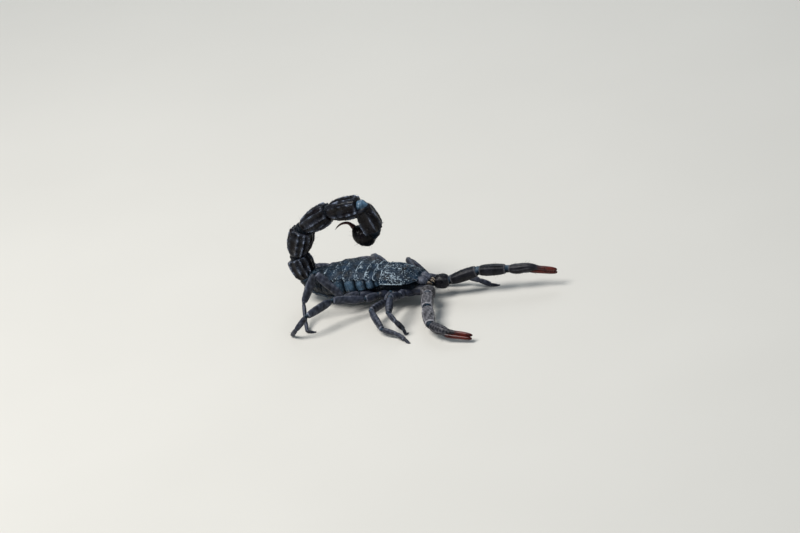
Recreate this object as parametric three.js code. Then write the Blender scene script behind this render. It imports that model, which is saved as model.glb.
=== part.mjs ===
// Black thick-tailed scorpion, life size, standing with its tail curled forward over its back.
// Millimetres. +X is the way the animal faces, +Y its left, +Z up. The feet rest on Z = 0.
// The rear edge of the carapace crosses the body's middle plane at X = 0, Y = 0.

import * as THREE from 'three';

// ---------- driving dimensions ----------

// Carapace, from its rear edge to its front edge (evenly spaced stations).
const CARAPACE_LENGTH = 15;
const CARAPACE_HALF_WIDTH = [7.8, 7.7, 6.4, 4.4];
const CARAPACE_CREST = [15.0, 14.8, 13.8, 12.1];
const CARAPACE_MARGIN = [11.0, 10.9, 10.5, 10.0];
const CARAPACE_RIM = 0.6;

// Soft core of the abdomen, from the carapace to the tail (evenly spaced stations).
const TRUNK_START = -0.2;
const TRUNK_END = -33.6;
const TRUNK_HALF_WIDTH = [7.2, 7.9, 8.5, 8.9, 8.9, 8.2, 6.6, 4.3];
const TRUNK_TOP = [14.3, 14.8, 15.3, 15.5, 15.0, 13.9, 12.6, 12.6];
const TRUNK_MIDDLE = [9.9, 9.5, 9.2, 9.0, 9.0, 9.1, 9.5, 9.9];
const TRUNK_BOTTOM = [9.3, 7.5, 6.1, 4.0, 3.2, 2.7, 3.0, 4.3];
const TRUNK_TILT = [0, 0, 0, 0, 3, 9, 22, 35];
const SECTION_ROUNDNESS = 0.85;

// Shell plates lie on the core, a thin gap above it.
const PLATE_GAP = 0.15;
const PLATE_THICKNESS = 0.55;
const PLATE_SPACING = 0.14;
const TERGITE_EDGES = [-0.1, -2.6, -6.0, -10.2, -15.1, -20.4, -26.0, -33.2];
const TERGITE_SIDE_ANGLE = 26;
const STERNITE_EDGES = [-11.0, -15.0, -19.3, -23.8, -28.2, -33.2];
const STERNITE_SIDE_ANGLE = 32;

// Underside of the front body, with the leg bases, from rear to front (evenly spaced stations).
const UNDERSIDE_REAR = -9.4;
const UNDERSIDE_FRONT = 16.4;
const UNDERSIDE_HALF_WIDTH = [7.6, 7.9, 7.4, 6.4, 5.6];
const UNDERSIDE_TOP = [5.7, 7.1, 9.3, 9.0, 7.1];
const UNDERSIDE_BOTTOM = [4.4, 4.2, 4.5, 4.7, 4.9];
const UNDERSIDE_EDGE_THINNING = 0.55;

const EYE_POSITION = 8.9;
const EYE_SPACING = 1.7;
const EYE_SIZE = [0.55, 0.5, 0.3];

// Tail rings in the curl, from the body outward: the middles of both ends, and the size across.
const TAIL_RINGS = [
  { start: [-35.5, 0.0, 9.7], end: [-38.3, 0.3, 17.5], halfWidth: 4.5, halfDepth: 4.6 },
  { start: [-38.0, 0.4, 19.2], end: [-33.9, 0.9, 29.6], halfWidth: 4.7, halfDepth: 4.7 },
  { start: [-32.4, 1.1, 31.3], end: [-21.3, 1.9, 37.2], halfWidth: 4.8, halfDepth: 4.3 },
  { start: [-20.3, 1.9, 37.5], end: [-7.2, 2.7, 40.0], halfWidth: 4.7, halfDepth: 4.1 },
  { start: [-5.5, 2.9, 36.9], end: [-3.4, 3.8, 28.9], halfWidth: 4.2, halfDepth: 3.9 },
];
const VESICLE_PATH = [
  [-4.5, 3.9, 25.5],
  [-8.7, 4.0, 25.6],
  [-12.9, 4.0, 28.6],
];
const STING_PATH = [
  [-13.2, 4.0, 29.5],
  [-14.6, 4.0, 31.0],
  [-16.9, 4.0, 31.3],
  [-19.1, 4.0, 30.2],
  [-21.1, 4.0, 28.3],
];

// Arms: trochanter, femur, patella, hand, fingers. Joint positions from the body outward.
const ARM_JOINTS = {
  right: [
    [18.5, -3.9, 6.9],
    [20.2, -7.9, 7.3],
    [23.9, -17.2, 6.4],
    [29.5, -27.4, 4.6],
    [37.9, -31.6, 3.5],
    [48.7, -31.6, 2.2],
  ],
  left: [
    [17.2, 3.8, 6.4],
    [23.4, 5.6, 6.3],
    [34.6, 9.0, 9.0],
    [45.9, 11.7, 8.6],
    [54.6, 13.8, 7.8],
    [65.3, 15.4, 6.2],
  ],
};
const FINGER_SPREAD = 1.7;
// How far below its own level side each hand turns its movable finger, in degrees.
const HAND_ROLL = { right: 50, left: 78 };

// Legs, front to hind: lengths of trochanter, femur, patella, tibia, basitarsus and telotarsus.
const LEG_LENGTHS = [
  [3.2, 8.6, 9.0, 5.6, 4.6, 2.7],
  [3.6, 10.8, 11.3, 6.8, 5.0, 2.5],
  [5.2, 13.4, 12.5, 7.2, 5.0, 2.5],
  [6.0, 15.0, 13.0, 8.0, 5.0, 2.6],
];
// Where each leg leaves its base (the left side is the mirror of this one), front to hind.
const LEG_ROOTS = [
  [9.1, -6.6, 7.1],
  [4.0, -7.8, 7.0],
  [-1.4, -8.7, 6.6],
  [-9.4, -8.9, 7.0],
];
// Heading of each segment in degrees from straight ahead, and its pitch above level.
// The last segment's pitch follows from the height of its ankle, so that the toe lies flat on the floor.
const LEG_POSE = {
  right: [
    { heading: [-93, -88, -73, -37, 40, 60], pitch: [8, 21, -16, -15, -60] },
    { heading: [-103, -99, -44, -14, -28, -28], pitch: [-28, 7, -21, -5, -8] },
    { heading: [-132, -140, -120, -157, 150, 115], pitch: [4, 15, -6, -44, -40] },
    { heading: [-142, -172, -140, -66, -62, 10], pitch: [1, 50, -58, -34, -27] },
  ],
  left: [
    { heading: [44, 26, 6, -3, 5, 12], pitch: [-16, -26, 11, -15, -24] },
    { heading: [46, 129, -19, 2, 17, 25], pitch: [10, 2, -30, -8, -2] },
    { heading: [130, 140, 132, 177, -163, 174], pitch: [-1, 3, -23, -8, -4] },
    { heading: [123, 168, 150, 165, 157, 171], pitch: [-19, 1, -14, -8, -2] },
  ],
};
const LEG_FEMUR_HALF_HEIGHT = [1.55, 1.55, 1.55, 1.6];
const LEG_PATELLA_HALF_HEIGHT = [1.85, 1.7, 1.65, 1.55];
const LEG_FLATTENING = 0.7;
const LEG_JOINT_GAP = 0.3;
const FOOT_HALF_HEIGHT = 0.4;
const TOE_LENGTH = 1.0;
const TOE_HEIGHT = 0.13;

// ---------- materials ----------

function shellMaterial(colour, roughness) {
  return new THREE.MeshStandardMaterial({ color: colour, roughness, metalness: 0 });
}

const SHELL = shellMaterial(0x23272c, 0.5);
const LEG_SHELL = shellMaterial(0x262b31, 0.5);
const TAIL_SHELL = shellMaterial(0x1b1a1c, 0.5);
const MEMBRANE = shellMaterial(0x48545e, 0.6);
const FINGER_SHELL = shellMaterial(0x3a1715, 0.4);
const COMB = shellMaterial(0x4a4038, 0.6);
const EYE = shellMaterial(0x0a0a0b, 0.1);

// ---------- shape helpers ----------

const scorpion = new THREE.Group();
const UP = new THREE.Vector3(0, 0, 1);

function vector([x, y, z]) {
  return new THREE.Vector3(x, y, z);
}

// Smooth value at s (0 to 1) through evenly spaced values.
function profile(values, s) {
  const curve = new THREE.SplineCurve(values.map((value) => new THREE.Vector2(value, 0)));
  return curve.getPoint(THREE.MathUtils.clamp(s, 0, 1)).x;
}

function signedPower(value, power) {
  return Math.sign(value) * Math.abs(value) ** power;
}

function addMesh(name, geometry, material) {
  const mesh = new THREE.Mesh(geometry, material);
  mesh.name = name;
  scorpion.add(mesh);
  return mesh;
}

// Replaces every vertex of a geometry by the point that place() gives for it.
function reshape(geometry, place) {
  const position = geometry.attributes.position;
  const vertex = new THREE.Vector3();
  for (let i = 0; i < position.count; i += 1) {
    vertex.fromBufferAttribute(position, i);
    const point = place(vertex);
    position.setXYZ(i, point.x, point.y, point.z);
  }
  geometry.computeVertexNormals();
  return geometry;
}

// A closed tube with blunt rounded ends: s runs along it, side and up across it.
function roundedTube(around, rings, endSharpness, place) {
  const sphere = new THREE.SphereGeometry(1, around, rings);
  return reshape(sphere, (vertex) => {
    const s = (1 - vertex.y) / 2;
    const across = Math.hypot(vertex.x, vertex.z);
    const fill = Math.sqrt(Math.max(0, 1 - Math.abs(2 * s - 1) ** endSharpness));
    const side = across > 1e-6 ? vertex.x / across : 0;
    const up = across > 1e-6 ? vertex.z / across : 0;
    return place(s, side, up, across > 1e-6 ? fill : 0);
  });
}

// A limb along a path. Half widths and half heights are evenly spaced values along it.
function limb(points, halfWidths, halfHeights, options = {}) {
  const { around = 8, rings = 8, ends = 12, box = 1, reference = UP, floor = null } = options;
  const path = points.length > 2
    ? new THREE.CatmullRomCurve3(points, false, 'centripetal')
    : new THREE.LineCurve3(points[0], points[1]);
  return roundedTube(around, rings, ends, (s, side, up, fill) => {
    const centre = path.getPointAt(s);
    const along = path.getTangentAt(s);
    const left = new THREE.Vector3().crossVectors(reference, along).normalize();
    const over = new THREE.Vector3().crossVectors(along, left);
    const across = profile(halfWidths, s) * fill * signedPower(side, box);
    const height = profile(halfHeights, s) * fill * signedPower(up, box);
    const point = centre.addScaledVector(left, across).addScaledVector(over, height);
    if (floor !== null) point.z = Math.max(point.z, floor);
    return point;
  });
}

// A plate: u runs along it (0 to 1), v across it (-1 to 1), w through it (0 inside, 1 outside).
function plate(along, across, place) {
  const box = new THREE.BoxGeometry(1, 2, 1, along, across, 1);
  return reshape(box, (vertex) => place(0.5 - vertex.x, -vertex.y, vertex.z + 0.5));
}

// The two points with their ends drawn in, which leaves room at the joints.
function drawnIn(start, end, gapAtStart, gapAtEnd) {
  const along = end.clone().sub(start).normalize();
  return [start.clone().addScaledVector(along, gapAtStart), end.clone().addScaledVector(along, -gapAtEnd)];
}

// ---------- trunk ----------

// A point of the abdomen at x, at an angle around it (0 left side, 90 top), raised by a height.
function trunkPoint(x, degrees, raised, fill = 1) {
  const s = (x - TRUNK_START) / (TRUNK_END - TRUNK_START);
  const angle = THREE.MathUtils.degToRad(degrees);
  const middle = profile(TRUNK_MIDDLE, s);
  const top = profile(TRUNK_TOP, s) - middle;
  const bottom = middle - profile(TRUNK_BOTTOM, s);
  const tilt = THREE.MathUtils.degToRad(profile(TRUNK_TILT, s));
  const side = signedPower(Math.cos(angle), SECTION_ROUNDNESS);
  const up = signedPower(Math.sin(angle), SECTION_ROUNDNESS);
  const y = fill * (profile(TRUNK_HALF_WIDTH, s) * side + raised * Math.cos(angle));
  const z = fill * ((up > 0 ? top : bottom) * up + raised * Math.sin(angle));
  return new THREE.Vector3(x + z * Math.sin(tilt), y, middle + z * Math.cos(tilt));
}

function makeAbdomen() {
  const core = roundedTube(22, 14, 14, (s, side, up, fill) => {
    const degrees = THREE.MathUtils.radToDeg(Math.atan2(up, -side));
    return trunkPoint(THREE.MathUtils.lerp(TRUNK_START, TRUNK_END, s), degrees, 0, fill);
  });
  addMesh('abdomen_core', core, MEMBRANE);
}

// One curved plate over the abdomen, between two places along it and two angles around it.
function bodyPlate(front, rear, fromAngle, toAngle, across) {
  return plate(2, across, (u, v, w) => {
    const x = THREE.MathUtils.lerp(rear + PLATE_SPACING, front, u);
    const degrees = THREE.MathUtils.mapLinear(v, -1, 1, fromAngle, toAngle);
    return trunkPoint(x, degrees, PLATE_GAP + PLATE_THICKNESS * w);
  });
}

function makeTergites() {
  for (let i = 0; i < TERGITE_EDGES.length - 1; i += 1) {
    const geometry = bodyPlate(
      TERGITE_EDGES[i], TERGITE_EDGES[i + 1], 180 - TERGITE_SIDE_ANGLE, TERGITE_SIDE_ANGLE, 12);
    addMesh(`tergite_${i + 1}`, geometry, SHELL);
  }
}

function makeSternites() {
  for (let i = 0; i < STERNITE_EDGES.length - 1; i += 1) {
    const geometry = bodyPlate(
      STERNITE_EDGES[i], STERNITE_EDGES[i + 1], -STERNITE_SIDE_ANGLE, STERNITE_SIDE_ANGLE - 180, 8);
    addMesh(`sternite_${i + 3}`, geometry, SHELL);
  }
}

function carapaceHeight(s, v) {
  const margin = profile(CARAPACE_MARGIN, s);
  const dome = (1 - Math.abs(v) ** 2.4) ** 0.6;
  return margin + (profile(CARAPACE_CREST, s) - margin) * dome;
}

function makeCarapace() {
  const geometry = plate(7, 12, (u, v, w) => {
    const y = v * profile(CARAPACE_HALF_WIDTH, u);
    const underside = profile(CARAPACE_MARGIN, u) - CARAPACE_RIM;
    const z = w > 0.5 ? carapaceHeight(u, v) : underside;
    return new THREE.Vector3(u * CARAPACE_LENGTH, y, z);
  });
  addMesh('carapace', geometry, SHELL);
}

function makeEyes() {
  for (const [name, side] of [['right', -1], ['left', 1]]) {
    const y = side * EYE_SPACING / 2;
    const s = EYE_POSITION / CARAPACE_LENGTH;
    const surface = carapaceHeight(s, y / profile(CARAPACE_HALF_WIDTH, s));
    const eye = new THREE.SphereGeometry(1, 8, 6).scale(...EYE_SIZE);
    const mesh = addMesh(`median_eye_${name}`, eye, EYE);
    mesh.position.set(EYE_POSITION, y, surface + EYE_SIZE[2] + 0.12);
  }
}

function makeUnderside() {
  const geometry = plate(6, 8, (u, v, w) => {
    const x = THREE.MathUtils.lerp(UNDERSIDE_REAR, UNDERSIDE_FRONT, u);
    const y = v * profile(UNDERSIDE_HALF_WIDTH, u);
    const top = profile(UNDERSIDE_TOP, u);
    const depth = (top - profile(UNDERSIDE_BOTTOM, u)) * (1 - UNDERSIDE_EDGE_THINNING * Math.abs(v) ** 3);
    return new THREE.Vector3(x, y, top - depth * (1 - w));
  });
  addMesh('coxae_and_sternum', geometry, SHELL);
}

function makeChelicerae() {
  for (const [name, side] of [['right', -1], ['left', 1]]) {
    const points = [[15.2, side * 1.75, 9.7], [17.0, side * 1.75, 9.6], [19.0, side * 1.5, 8.9]].map(vector);
    addMesh(`chelicera_${name}`, limb(points, [1.5, 1.6, 1.0], [1.5, 1.5, 0.8]), SHELL);
  }
}

// The comb organs lie flat under the front of the abdomen and reach outward and back.
function makeCombs() {
  for (const [name, side] of [['right', -1], ['left', 1]]) {
    const points = [[-5.6, side * 1.4, 3.4], [-8.6, side * 3.6, 3.1], [-12.4, side * 6.8, 3.2]].map(vector);
    addMesh(`comb_${name}`, limb(points, [1.0, 1.3, 0.7], [0.45, 0.45, 0.35]), COMB);
  }
}

// ---------- tail ----------

function makeTail() {
  const sideways = new THREE.Vector3(0, 1, 0);
  TAIL_RINGS.forEach(({ start, end, halfWidth, halfDepth }, i) => {
    const ends = [start, end].map(vector);
    const along = ends[1].clone().sub(ends[0]);
    const inward = new THREE.Vector3().crossVectors(along, sideways).normalize();
    const widths = [0.78, 1, 0.84].map((share) => share * halfWidth);
    const depths = [0.76, 1, 0.82].map((share) => share * halfDepth);
    addMesh(`tail_ring_${i + 1}`, limb(ends, widths, depths, {
      around: 16, rings: 8, ends: 16, box: 0.85, reference: inward,
    }), TAIL_SHELL);
  });
}

function makeTelson() {
  const sideways = new THREE.Vector3(0, -1, 0);
  const vesicle = limb(
    VESICLE_PATH.map(vector), [2.7, 3.8, 3.8, 2.6, 1.3], [2.3, 3.5, 3.6, 2.6, 1.3],
    { around: 14, rings: 10, ends: 6, reference: sideways });
  addMesh('telson_vesicle', vesicle, TAIL_SHELL);
  const sting = limb(
    STING_PATH.map(vector), [0.95, 0.8, 0.6, 0.42, 0.26], [0.95, 0.8, 0.6, 0.42, 0.26],
    { around: 8, rings: 10, ends: 12, reference: sideways });
  addMesh('telson_sting', sting, FINGER_SHELL);
}

// ---------- arms ----------

function makeArm(side) {
  const joints = ARM_JOINTS[side].map(vector);
  const [shoulder, elbow, wrist] = [joints[1], joints[2], joints[3]];
  const hand = joints[4];
  const tip = joints[5];
  const upper = limb(
    [joints[0], shoulder, drawnIn(shoulder, elbow, 0, 0.4)[1]], [1.7, 2.3, 2.0, 2.3, 2.0], [1.8, 2.2, 1.9, 2.1, 1.8],
    { around: 10, rings: 12, ends: 14 });
  addMesh(`arm_${side}_femur`, upper, SHELL);
  addMesh(`arm_${side}_patella`, limb(
    drawnIn(elbow, wrist, 0.5, 0.5), [1.9, 2.4, 1.9], [1.8, 2.1, 1.8], { around: 10, rings: 8, ends: 14 }), SHELL);

  // The movable finger is on the outer and lower side, so this points from it to the fixed finger.
  const outward = side === 'left' ? 1 : -1;
  const along = tip.clone().sub(hand).normalize();
  const outerSide = new THREE.Vector3().crossVectors(UP, along).normalize().multiplyScalar(outward);
  const over = new THREE.Vector3().crossVectors(along, outerSide).normalize().multiplyScalar(outward);
  const roll = THREE.MathUtils.degToRad(HAND_ROLL[side]);
  const apart = over.multiplyScalar(Math.sin(roll)).addScaledVector(outerSide, -Math.cos(roll));
  const beside = (point, distance, ahead = 0) => (
    point.clone().addScaledVector(apart, distance).addScaledVector(along, ahead));
  const palmMiddle = wrist.clone().lerp(hand, 0.5);
  const fingerMiddle = hand.clone().lerp(tip, 0.5);
  const palm = limb(
    [drawnIn(wrist, palmMiddle, 0.6, 0)[0], palmMiddle, beside(hand, 0.75),
      beside(fingerMiddle, FINGER_SPREAD * 0.5), beside(tip, FINGER_SPREAD * 0.35)],
    [1.35, 1.75, 1.75, 1.5, 0.75, 0.65, 0.6, 0.5, 0.3], [1.45, 1.85, 1.9, 1.5, 0.75, 0.62, 0.58, 0.48, 0.3],
    { around: 10, rings: 18, ends: 14, reference: apart });
  addMesh(`arm_${side}_hand`, palm, SHELL);
  addMesh(`arm_${side}_movable_finger`, limb(
    [beside(hand, -0.95, 1.0), beside(fingerMiddle, -FINGER_SPREAD * 0.5), beside(tip, -FINGER_SPREAD * 0.35)],
    [0.6, 0.65, 0.6, 0.5, 0.3], [0.6, 0.65, 0.6, 0.48, 0.3],
    { around: 8, rings: 12, reference: apart }), FINGER_SHELL);
}

// ---------- legs ----------

// How far two segments stop short of the joint between them: more where the leg bends more.
function jointGap(before, joint, after, halfHeight) {
  const bend = joint.clone().sub(before).angleTo(after.clone().sub(joint));
  return LEG_JOINT_GAP + 0.45 * halfHeight * Math.tan(Math.min(bend, 2.1) / 2);
}

function legJoints(side, index) {
  const root = vector(LEG_ROOTS[index]);
  if (side === 'left') root.y = -root.y;
  const pose = LEG_POSE[side][index];
  const joints = [root];
  LEG_LENGTHS[index].forEach((length, segment) => {
    const last = joints[joints.length - 1];
    const isFoot = segment === 5;
    const drop = THREE.MathUtils.clamp((TOE_HEIGHT - last.z) / length, -1, 1);
    const pitch = isFoot ? Math.asin(drop) : THREE.MathUtils.degToRad(pose.pitch[segment]);
    const heading = THREE.MathUtils.degToRad(pose.heading[segment]);
    const step = new THREE.Vector3(
      Math.cos(pitch) * Math.cos(heading), Math.cos(pitch) * Math.sin(heading), Math.sin(pitch));
    joints.push(last.clone().addScaledVector(step, length));
    if (isFoot) joints.push(joints[6].clone().addScaledVector(step.setZ(0).normalize(), TOE_LENGTH));
  });
  return joints;
}

function makeLeg(side, index) {
  const joints = legJoints(side, index);
  const name = `leg_${side}_${index + 1}`;
  const femur = LEG_FEMUR_HALF_HEIGHT[index];
  const patella = LEG_PATELLA_HALF_HEIGHT[index];
  const knee = joints[2];
  const ankle = joints[3];
  const kneeGap = jointGap(joints[1], knee, ankle, femur);
  const ankleGap = jointGap(knee, ankle, joints[4], patella);

  const thigh = [joints[0], joints[1], drawnIn(joints[1], knee, 0, kneeGap)[1]];
  const thighHeights = [femur * 0.8, femur * 0.85, femur, femur * 0.95, femur * 0.75];
  addMesh(`${name}_femur`, limb(
    thigh, thighHeights.map((h) => h * LEG_FLATTENING), thighHeights, { rings: 10 }), LEG_SHELL);

  const shinHeights = [patella * 0.78, patella, patella * 0.72];
  addMesh(`${name}_patella`, limb(
    drawnIn(knee, ankle, kneeGap, ankleGap), shinHeights.map((h) => h * LEG_FLATTENING), shinHeights), LEG_SHELL);

  const lower = [drawnIn(ankle, joints[4], ankleGap, 0)[0], ...joints.slice(4)];
  const footHeights = [patella * 0.52, patella * 0.6, patella * 0.46, 0.5, FOOT_HALF_HEIGHT];
  addMesh(`${name}_tarsus`, limb(
    lower, footHeights.map((h) => Math.max(h * 0.8, 0.36)), footHeights, { rings: 12, floor: 0 }), LEG_SHELL);
}

// ---------- assembly ----------

makeCarapace();
makeEyes();
makeUnderside();
makeChelicerae();
makeAbdomen();
makeTergites();
makeSternites();
makeCombs();
makeTail();
makeTelson();
for (const side of ['right', 'left']) {
  makeArm(side);
  for (let index = 0; index < LEG_ROOTS.length; index += 1) makeLeg(side, index);
}

// Centre the footprint on the origin; the floor stays at Z = 0.
scorpion.updateMatrixWorld(true);
const bounds = new THREE.Box3().setFromObject(scorpion, true);
const centre = bounds.getCenter(new THREE.Vector3());
scorpion.position.set(-centre.x, -centre.y, 0);

export default scorpion;
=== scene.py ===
import math
from functools import partial

import bpy
import numpy as np
from mathutils import Matrix, Vector


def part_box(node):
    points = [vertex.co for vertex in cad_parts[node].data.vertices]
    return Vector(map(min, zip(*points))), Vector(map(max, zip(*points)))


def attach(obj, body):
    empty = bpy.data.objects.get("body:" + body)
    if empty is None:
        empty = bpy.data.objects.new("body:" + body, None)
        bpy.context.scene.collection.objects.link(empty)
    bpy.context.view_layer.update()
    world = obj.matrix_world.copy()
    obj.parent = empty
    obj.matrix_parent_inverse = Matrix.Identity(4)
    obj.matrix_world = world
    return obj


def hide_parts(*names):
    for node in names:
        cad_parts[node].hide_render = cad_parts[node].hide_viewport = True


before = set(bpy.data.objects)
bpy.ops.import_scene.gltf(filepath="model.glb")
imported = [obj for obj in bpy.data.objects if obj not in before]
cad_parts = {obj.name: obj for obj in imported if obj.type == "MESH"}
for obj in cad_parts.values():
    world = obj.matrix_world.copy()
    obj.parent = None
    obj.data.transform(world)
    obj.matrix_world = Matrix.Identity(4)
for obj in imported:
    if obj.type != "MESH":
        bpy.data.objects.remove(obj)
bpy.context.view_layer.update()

# A black thick-tailed scorpion, life size: the fine surface of every plate, limb and joint.
# Sizes are in millimetres. +X is the way the animal faces, +Y its left, +Z up, and the feet are on Z = 0.
# The rear edge of the carapace crosses the body's middle plane at X = 0, Y = 0, and SHIFT leads from there to
# the model's frame.

MM = 0.001
rear_low, rear_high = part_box("carapace")
SHIFT = np.array([rear_low.x, (rear_low.y + rear_high.y) / 2, 0.0]) / MM
SEED = 20
SIDES = (("right", -1), ("left", 1))
BAKE_MAP = "OFBake"

# ---------- sizes ----------

CARAPACE_LENGTH = 15.0
CARAPACE_HALF_WIDTH = [7.8, 7.7, 6.4, 4.4]
CARAPACE_CREST = [15.0, 14.8, 13.8, 12.1]
CARAPACE_MARGIN = [11.0, 10.9, 10.5, 10.0]
CARAPACE_THICKNESS = 0.5
PLATE_THICKNESS = 0.4
EYE_X = 8.9
EYE_SPACING = 1.7
EYE_RADIUS = 0.5
# Side eyes, as shares of the carapace's length and half width.
SIDE_EYES = [(0.955, 0.9), (0.925, 0.925), (0.89, 0.945)]
SIDE_EYE_RADIUS = 0.24

TRUNK_START = -0.2
TRUNK_END = -33.6
TRUNK_HALF_WIDTH = [7.2, 7.9, 8.5, 8.9, 8.9, 8.2, 6.6, 4.3]
TRUNK_TOP = [14.3, 14.8, 15.3, 15.5, 15.0, 13.9, 12.6, 12.6]
TRUNK_MIDDLE = [9.9, 9.5, 9.2, 9.0, 9.0, 9.1, 9.5, 9.9]
TRUNK_BOTTOM = [9.3, 7.5, 6.1, 4.0, 3.2, 2.7, 3.0, 4.3]
TRUNK_TILT = [0, 0, 0, 0, 3, 9, 22, 35]
SECTION_ROUNDNESS = 0.85
TERGITE_EDGES = [-0.1, -2.6, -6.0, -10.2, -15.1, -20.4, -26.0, -33.2]
TERGITE_SIDE_ANGLE = 26.0
STERNITE_EDGES = [-11.0, -15.0, -19.3, -23.8, -28.2, -33.2]
STERNITE_SIDE_ANGLE = 32.0
PLATE_RISE = 0.45
PLATE_OVERLAP = 0.45
# Between these places the flank's painted highlight fades out, and its rear end is painted as in shade.
FLANK_SHADE_ENDS = (-23.0, -15.0)

TAIL_RINGS = [
    {"start": (-35.5, 0.0, 9.7), "end": (-38.3, 0.3, 17.5), "half_width": 4.5, "half_depth": 4.6},
    {"start": (-38.0, 0.4, 19.2), "end": (-33.9, 0.9, 29.6), "half_width": 4.7, "half_depth": 4.7},
    {"start": (-32.4, 1.1, 31.3), "end": (-21.3, 1.9, 37.2), "half_width": 4.8, "half_depth": 4.3},
    {"start": (-20.3, 1.9, 37.5), "end": (-7.2, 2.7, 40.0), "half_width": 4.7, "half_depth": 4.1},
    {"start": (-5.5, 2.9, 36.9), "end": (-3.4, 3.8, 28.9), "half_width": 4.2, "half_depth": 3.9},
]
# How far each ring's shell is drawn in (or reaches out, below 0) at its start and at its end.
RING_REACH = [(-0.9, -0.6), (-0.9, -0.6), (-1.0, -0.8), (-1.0, 0.0), (-3.1, -0.4)]
# Keels of the tail, in degrees from the middle of its outer (lower) side, on both sides.
RING_KEELS = [[20, 56, 96, 126, 153]] * 3 + [[20, 56, 110, 148], [0, 52, 128]]
VESICLE_HALF_WIDTH = [2.9, 4.0, 4.1, 3.2, 1.5]
VESICLE_HALF_HEIGHT = [2.6, 4.2, 4.3, 3.3, 1.5]
VESICLE_PATH = [(-3.9, 3.9, 26.2), (-8.9, 4.0, 26.4), (-13.0, 4.0, 29.6)]
STING_RADIUS = [1.15, 0.72, 0.55, 0.42, 0.28, 0.06]
STING_PATH = [(-12.2, 4.0, 29.4), (-14.4, 4.0, 31.4), (-16.9, 4.0, 31.3), (-19.1, 4.0, 30.2),
              (-21.1, 4.0, 28.3)]

ARM_JOINTS = {
    "right": [(18.5, -3.9, 6.9), (20.2, -7.9, 7.3), (23.9, -17.2, 6.4), (29.5, -27.4, 4.6),
              (37.9, -31.6, 3.5), (48.7, -31.6, 2.2)],
    "left": [(17.2, 3.8, 6.4), (23.4, 5.6, 6.3), (34.6, 9.0, 9.0), (45.9, 11.7, 8.6), (54.6, 13.8, 7.8),
             (65.3, 15.4, 6.2)],
}
# Half widths and half heights along the first, second and third segment of an arm, and along a palm and its
# moving finger's hinge.
ARM_ROOT_SECTIONS = [1.8, 2.75, 2.95, 2.3], [1.8, 2.7, 2.9, 2.25]
ARM_UPPER_SECTIONS = [1.8, 2.2, 2.35, 2.35, 2.1], [1.75, 2.1, 2.3, 2.3, 2.05]
ARM_MIDDLE_SECTIONS = [1.95, 2.4, 2.35, 1.9], [1.85, 2.15, 2.1, 1.8]
PALM_SECTIONS = [1.4, 1.85, 1.9, 1.7], [1.5, 1.95, 2.05, 1.8]
HINGE_SECTIONS = [1.2, 1.5, 1.3, 0.95], [1.2, 1.4, 1.2, 0.95]
# The same of the finger that is one with the palm, from the palm's end, and of the moving one.
FIXED_FINGER_SECTIONS = [0.8, 0.8, 0.78, 0.6], [0.8, 0.8, 0.76, 0.58]
MOVING_FINGER_SECTIONS = [0.75, 0.85, 0.8, 0.8, 0.76, 0.6], [0.75, 0.88, 0.84, 0.8, 0.74, 0.58]
# Half width and half height where the palm narrows to the fixed finger.
FINGER_NECK = 1.05, 1.1
FINGER_SPREAD = 1.55
# How far below its own level side each hand turns its moving finger, in degrees.
HAND_ROLL = {"right": 50, "left": 78}

# Legs, front to hind: lengths of trochanter, femur, patella, tibia, basitarsus and telotarsus.
LEG_LENGTHS = [
    (3.2, 8.6, 9.0, 5.6, 4.6, 2.7),
    (3.6, 10.8, 11.3, 6.8, 5.0, 2.5),
    (5.2, 13.4, 12.5, 7.2, 5.0, 2.5),
    (6.0, 15.0, 13.0, 8.0, 5.0, 2.6),
]
LEG_ROOTS = [(9.1, -6.6, 7.1), (4.0, -7.8, 7.0), (-1.4, -8.7, 6.6), (-9.4, -8.9, 7.0)]
LEG_HEADINGS = {
    "right": [(-93, -88, -73, -37, 40, 60), (-103, -99, -44, -14, -28, -28),
              (-132, -140, -120, -157, 150, 115), (-142, -172, -140, -66, -62, 10)],
    "left": [(44, 26, 6, -3, 5, 12), (46, 129, -19, 2, 17, 25),
             (130, 140, 132, 177, -163, 174), (123, 168, 150, 165, 157, 171)],
}
LEG_PITCHES = {
    "right": [(8, 21, -16, -15, -60), (-28, 7, -21, -5, -8), (4, 15, -6, -44, -40), (1, 50, -58, -34, -27)],
    "left": [(-16, -26, 11, -15, -24), (10, 2, -30, -8, -2), (-1, 3, -23, -8, -4), (-19, 1, -14, -8, -2)],
}
LEG_FEMUR_HALF_HEIGHT = [1.55, 1.55, 1.55, 1.6]
LEG_PATELLA_HALF_HEIGHT = [1.85, 1.7, 1.65, 1.55]
LEG_FLATTENING = 0.76
TOE_LENGTH = 1.0
TOE_HEIGHT = 0.13
CLAW_LENGTH = 0.6
# Inner end and middle of each leg's coxa on the right side, front to hind. Its outer end is the leg's root.
COXA_PATHS = [
    [(13.2, -1.0, 5.3), (11.6, -4.0, 5.9)],
    [(9.6, -1.2, 4.9), (7.2, -4.8, 5.7)],
    [(5.6, -1.7, 4.8), (2.6, -5.2, 5.6)],
    [(2.6, -1.9, 4.7), (-2.8, -5.4, 5.3)],
]

# The left comb and jaw. The right ones are mirrored.
COMB_PATH = [(-5.6, 1.4, 3.4), (-8.6, 3.6, 3.1), (-12.4, 6.8, 3.2)]
COMB_TEETH = 34
JAW_PATH = [(13.0, 1.75, 10.0), (15.6, 1.8, 9.95), (17.9, 1.7, 9.3)]

# ---------- camera and light ----------

LENS = 200.0
SENSOR = 36.0
VIEW_FORWARD = np.array([-0.4532, 0.7849, -0.4226])
VIEW_RIGHT = np.array([0.8912, 0.4090, -0.1961])
VIEW_DISTANCE = 1733.3
VIEW_SLIDE = (2.65, 13.07)
# Metres from the middle of the floor to its edges.
FLOOR_REACH = 3.0
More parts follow.
